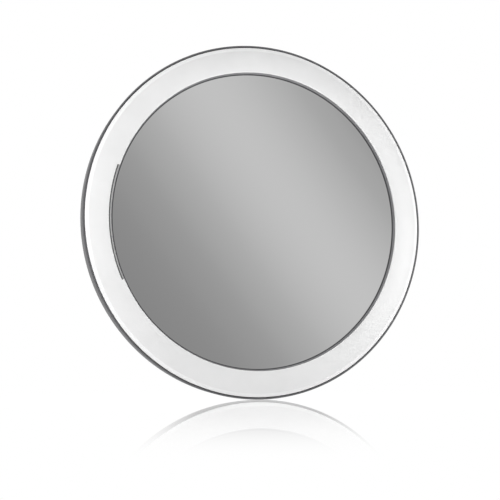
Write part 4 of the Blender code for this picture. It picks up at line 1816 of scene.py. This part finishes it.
@dataclass(frozen=True)
class GlossyFloor(Finish):
    """White gloss laminate under the mirror, plain white to the camera but for the shadow."""

    name: str = "floor_gloss_laminate"
    colour: str = "#FFFFFF"
    roughness: float = 0.01
    ior: float = 1.45
    # Where the mirror stands, in the floor's own frame
    touch: tuple[float, float, float] = (0.0, -0.03, 0.0)
    # Share of the gloss that shows there, and the distances between which it fades
    gloss: float = 0.64
    gloss_near: float = 110.0 * MM
    gloss_far: float = 310.0 * MM
    # How white the camera sees the floor in full shadow, and what the lamps add to it
    shaded: float = 0.93
    lit_share: float = 0.20
    # How much light the floor throws back at the mirror
    bounce: float = 0.8
    # The shadow fades between these distances from where the mirror stands
    shadow_near: float = 20.0 * MM
    shadow_far: float = 130.0 * MM

    def pattern(self, tree: bpy.types.NodeTree, shader: bpy.types.Node) -> None:
        """Wire the white that the camera, metal and glass see, and the fading gloss.

        Args:
            tree: the material's node tree.
            shader: the principled shader, which is replaced.
        """
        place = add_node(tree, "ShaderNodeTexCoord").outputs["Object"]
        away = add_node(
            tree, "ShaderNodeVectorMath", {"operation": "DISTANCE"}, {0: place, 1: self.touch}
        )
        lit, lamplight = (
            add_node(tree, "ShaderNodeBsdfDiffuse", inputs={"Color": (share, share, share, 1.0)})
            for share in (self.bounce, self.lit_share)
        )
        white, glow = (
            add_node(tree, "ShaderNodeEmission", inputs={"Strength": strength})
            for strength in (1.0, self.shaded)
        )
        near = add_node(
            tree, "ShaderNodeAddShader", inputs={0: glow.outputs[0], 1: lamplight.outputs[0]}
        )
        fading = add_node(
            tree,
            "ShaderNodeMapRange",
            inputs={
                "Value": away.outputs["Value"],
                "From Min": self.shadow_near,
                "From Max": self.shadow_far,
            },
        )
        shadowed = add_node(
            tree,
            "ShaderNodeMixShader",
            inputs={0: fading.outputs["Result"], 1: near.outputs[0], 2: white.outputs[0]},
        )
        base = add_node(
            tree,
            "ShaderNodeMixShader",
            inputs={0: seen_directly(tree), 1: lit.outputs[0], 2: shadowed.outputs[0]},
        )
        fresnel = add_node(tree, "ShaderNodeFresnel", inputs={"IOR": self.ior})
        fade = add_node(
            tree,
            "ShaderNodeMapRange",
            {"interpolation_type": "SMOOTHSTEP"},
            {
                "Value": away.outputs["Value"],
                "From Min": self.gloss_near,
                "From Max": self.gloss_far,
                "To Min": self.gloss,
                "To Max": 0.0,
            },
        )
        share = add_node(
            tree,
            "ShaderNodeMath",
            {"operation": "MULTIPLY"},
            {0: fresnel.outputs["Fac"], 1: fade.outputs["Result"]},
        )
        gloss = add_node(
            tree,
            "ShaderNodeBsdfGlossy",
            inputs={"Color": linear(self.colour), "Roughness": self.roughness},
        )
        surface = add_node(
            tree,
            "ShaderNodeMixShader",
            inputs={0: share.outputs["Value"], 1: base.outputs[0], 2: gloss.outputs[0]},
        )
        self.show(tree, shader, surface)


@dataclass(frozen=True)
class GradedCard(Finish):
    """Grey studio card with one broad soft band of light, which the mirror reflects."""

    name: str = "card_graded_grey"
    colour: str = "#B0B0B0"
    roughness: float = 1.0
    half_width: float = 1.2
    # Reach of the tones to each side of the card's middle, and its tone at places within it,
    # all in metres across the band
    reach: float = 0.30
    tones: Stops = (
        (-0.3000, "#868686"),
        (-0.0830, "#8E8E8E"),
        (-0.0545, "#9A9A9A"),
        (-0.0330, "#AAAAAA"),
        (-0.0107, "#BEBEBE"),
        (0.0165, "#CECECE"),
        (0.0438, "#C8C8C8"),
        (0.0660, "#B7B7B7"),
        (0.0830, "#A9A9A9"),
        (0.3000, "#8C8C8C"),
    )

    def pattern(self, tree: bpy.types.NodeTree, shader: bpy.types.Node) -> None:
        """Wire the tones across the card, which glows by itself.

        Args:
            tree: the material's node tree.
            shader: the principled shader, which is replaced.
        """
        place = add_node(tree, "ShaderNodeTexCoord").outputs["Object"]
        across = add_node(tree, "ShaderNodeSeparateXYZ", inputs={0: place})
        share = add_node(
            tree,
            "ShaderNodeMapRange",
            inputs={
                "Value": across.outputs["X"],
                "From Min": -self.reach,
                "From Max": self.reach,
            },
        )
        ramp = add_node(tree, "ShaderNodeValToRGB", inputs={"Fac": share.outputs["Result"]})
        ramp.color_ramp.interpolation = "CARDINAL"
        set_ramp(ramp, [(0.5 + 0.5 * at / self.reach, tone) for at, tone in self.tones])
        glow = add_node(
            tree,
            "ShaderNodeEmission",
            inputs={"Color": ramp.outputs["Color"], "Strength": 1.0},
        )
        self.show(tree, shader, glow)


def direction(azimuth: float, elevation: float) -> Vector:
    """Direction in which a point lies from the mirror.

    Args:
        azimuth: the point's angle about +Z in radians, from the user's side towards +X.
        elevation: its angle above the horizontal in radians.

    Returns:
        The direction, of length 1.
    """
    level = math.cos(elevation)
    return Vector(
        (math.sin(azimuth) * level, -math.cos(azimuth) * level, math.sin(elevation))
    )


@dataclass
class Studio:
    """The floor, the lamps at both sides, the graded card and the white surroundings."""

    head: HeadSizes
    floor_half: float = 3.0
    lamp_place: Point = (0.185, -0.22)
    # Heights of the left and the right lamp, unlike as the photograph's light lies a little askew
    lamp_heights: Point = (0.025, -0.009)
    lamp_size: Point = (0.10, 0.12)
    lamp_power: float = 0.314
    # Soft fill from the user's side, stronger from the left by a share, and from behind
    front_fill: float = 0.28
    left_share: float = 0.9
    rear_fill: float = 0.90
    # Where the fill passes from the one to the other, by how far a ray leans towards the wall
    fill_change: Point = (-0.2, 0.3)
    card_distance: float = 1.6
    card_azimuth: float = math.radians(19.01)
    card_elevation: float = math.radians(6.80)
    # Turn of the card in its own plane that lays its band from upper left to lower right
    card_turn: float = math.radians(-47.4)

    def plane(self, name: str, half: float, finish: Finish) -> bpy.types.Object:
        """Add a square plane to the stage.

        Args:
            name: its name.
            half: half its side.
            finish: its finish.

        Returns:
            The plane, flat at the origin.
        """
        outline = ((-half, -half), (half, -half), (half, half), (-half, half))
        corners = [Vector((x, y, 0.0)) for x, y in outline]
        mesh = bpy.data.meshes.new(name)
        mesh.from_pydata(corners, [], [(0, 1, 2, 3)])
        mesh.materials.append(finish.material())
        made = bpy.data.objects.new(name, mesh)
        bpy.context.scene.collection.objects.link(made)
        return made

    def build_floor(self) -> None:
        """Lay the floor that the mirror stands on."""
        floor = self.plane("studio_floor", self.floor_half, GlossyFloor())
        floor.location.z = -self.head.rim_radius

    def build_card(self) -> None:
        """Hang the card where only the mirror and other gloss see it."""
        card = self.plane("graded_card", GradedCard().half_width, GradedCard())
        towards = direction(self.card_azimuth, self.card_elevation)
        facing = (-towards).to_track_quat("Z", "Y").to_matrix().to_4x4()
        turn = Matrix.Rotation(self.card_turn, 4, "Z")
        start = Vector((0.0, -self.head.glass_front(0.0), 0.0))
        card.matrix_world = Matrix.Translation(start + towards * self.card_distance) @ facing @ turn
        card.visible_camera = False
        card.visible_diffuse = False
        card.visible_shadow = False
        card.visible_transmission = False

    def build_lamps(self) -> None:
        """Set a soft lamp at each side, turned to the mirror."""
        sides = zip(("lamp_left", "lamp_right"), (-1.0, 1.0), self.lamp_heights)
        for name, side, height in sides:
            light = bpy.data.lights.new(name, "AREA")
            light.shape = "RECTANGLE"
            light.size, light.size_y = self.lamp_size
            light.energy = self.lamp_power
            lamp = bpy.data.objects.new(name, light)
            lamp.location = (side * self.lamp_place[0], self.lamp_place[1], height)
            lamp.rotation_euler = lamp.location.to_track_quat("Z", "Y").to_euler()
            lamp.visible_camera = False
            lamp.visible_glossy = False
            bpy.context.scene.collection.objects.link(lamp)

    def build_surroundings(self) -> None:
        """Make the air white to the camera, metal and glass, and a soft fill to the rest."""
        world = bpy.data.worlds.new("studio_air")
        world.use_nodes = True
        tree = world.node_tree
        tree.nodes.clear()
        way = add_node(tree, "ShaderNodeTexCoord").outputs["Generated"]
        parts = add_node(tree, "ShaderNodeSeparateXYZ", inputs={0: way})
        front = add_node(
            tree,
            "ShaderNodeMapRange",
            inputs={
                "Value": parts.outputs["X"],
                "From Min": -1.0,
                "From Max": 1.0,
                "To Min": self.front_fill * (1.0 + self.left_share),
                "To Max": self.front_fill * (1.0 - self.left_share),
            },
        )
        strength = add_node(
            tree,
            "ShaderNodeMapRange",
            inputs={
                "Value": parts.outputs["Y"],
                "From Min": self.fill_change[0],
                "From Max": self.fill_change[1],
                "To Min": front.outputs["Result"],
                "To Max": self.rear_fill,
            },
        )
        fill, white = (
            add_node(
                tree, "ShaderNodeBackground", inputs={"Color": linear("#FFFFFF"), "Strength": level}
            )
            for level in (strength.outputs["Result"], 1.0)
        )
        both = add_node(
            tree,
            "ShaderNodeMixShader",
            inputs={0: seen_directly(tree), 1: fill.outputs[0], 2: white.outputs[0]},
        )
        add_node(tree, "ShaderNodeOutputWorld", inputs={"Surface": both.outputs[0]})
        bpy.context.scene.world = world

    def build(self) -> None:
        """Set the whole stage."""
        self.build_floor()
        self.build_card()
        self.build_lamps()
        self.build_surroundings()
        bpy.context.scene.view_settings.view_transform = "Standard"


@dataclass
class PhotoCamera:
    """The camera at the photograph's viewing angle, half a metre from the mirror."""

    azimuth: float = math.radians(-19.29)
    elevation: float = math.radians(-6.90)
    distance: float = 0.500
    aim: tuple[float, float, float] = (0.0, -31.59 * MM, 0.0)
    sensor: float = 36.0
    lens: float = 85.69
    shift: Point = (-0.02098, -0.06136)
    # The nearest and the farthest that the camera sees
    clip: Point = (0.01, 20.0)

    def build(self) -> None:
        """Make the scene's camera."""
        data = bpy.data.cameras.new("photo_camera")
        data.sensor_width = self.sensor
        data.lens = self.lens
        data.shift_x, data.shift_y = self.shift
        data.clip_start, data.clip_end = self.clip
        back = direction(self.azimuth, self.elevation)
        camera = bpy.data.objects.new("photo_camera", data)
        camera.location = Vector(self.aim) + back * self.distance
        camera.rotation_mode = "QUATERNION"
        camera.rotation_quaternion = (-back).to_track_quat("-Z", "Y")
        bpy.context.scene.collection.objects.link(camera)
        bpy.context.scene.camera = camera


def main() -> None:
    """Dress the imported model, set the stage and place the camera."""
    logging.basicConfig(level=logging.INFO, format="%(name)s: %(message)s")
    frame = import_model()
    head, keyholes = HeadSizes(), KeyholeSizes()
    assemblies = (
        RearHousing(head, keyholes),
        BezelRing(head),
        MirrorGlass(head),
        GlassGasket(head),
        FoamPads(head),
        CupPins(head, keyholes),
        SuctionCups(keyholes),
    )
    for assembly in assemblies:
        for piece in assembly.build():
            LOG.info("%s: %d faces", piece.name, len(piece.data.polygons))
        assembly.dress()
    LOG.info("%d nodes in the packed model", len(frame["nodes"]))
    Studio(head).build()
    PhotoCamera().build()


if __name__ == "__main__":
    main()
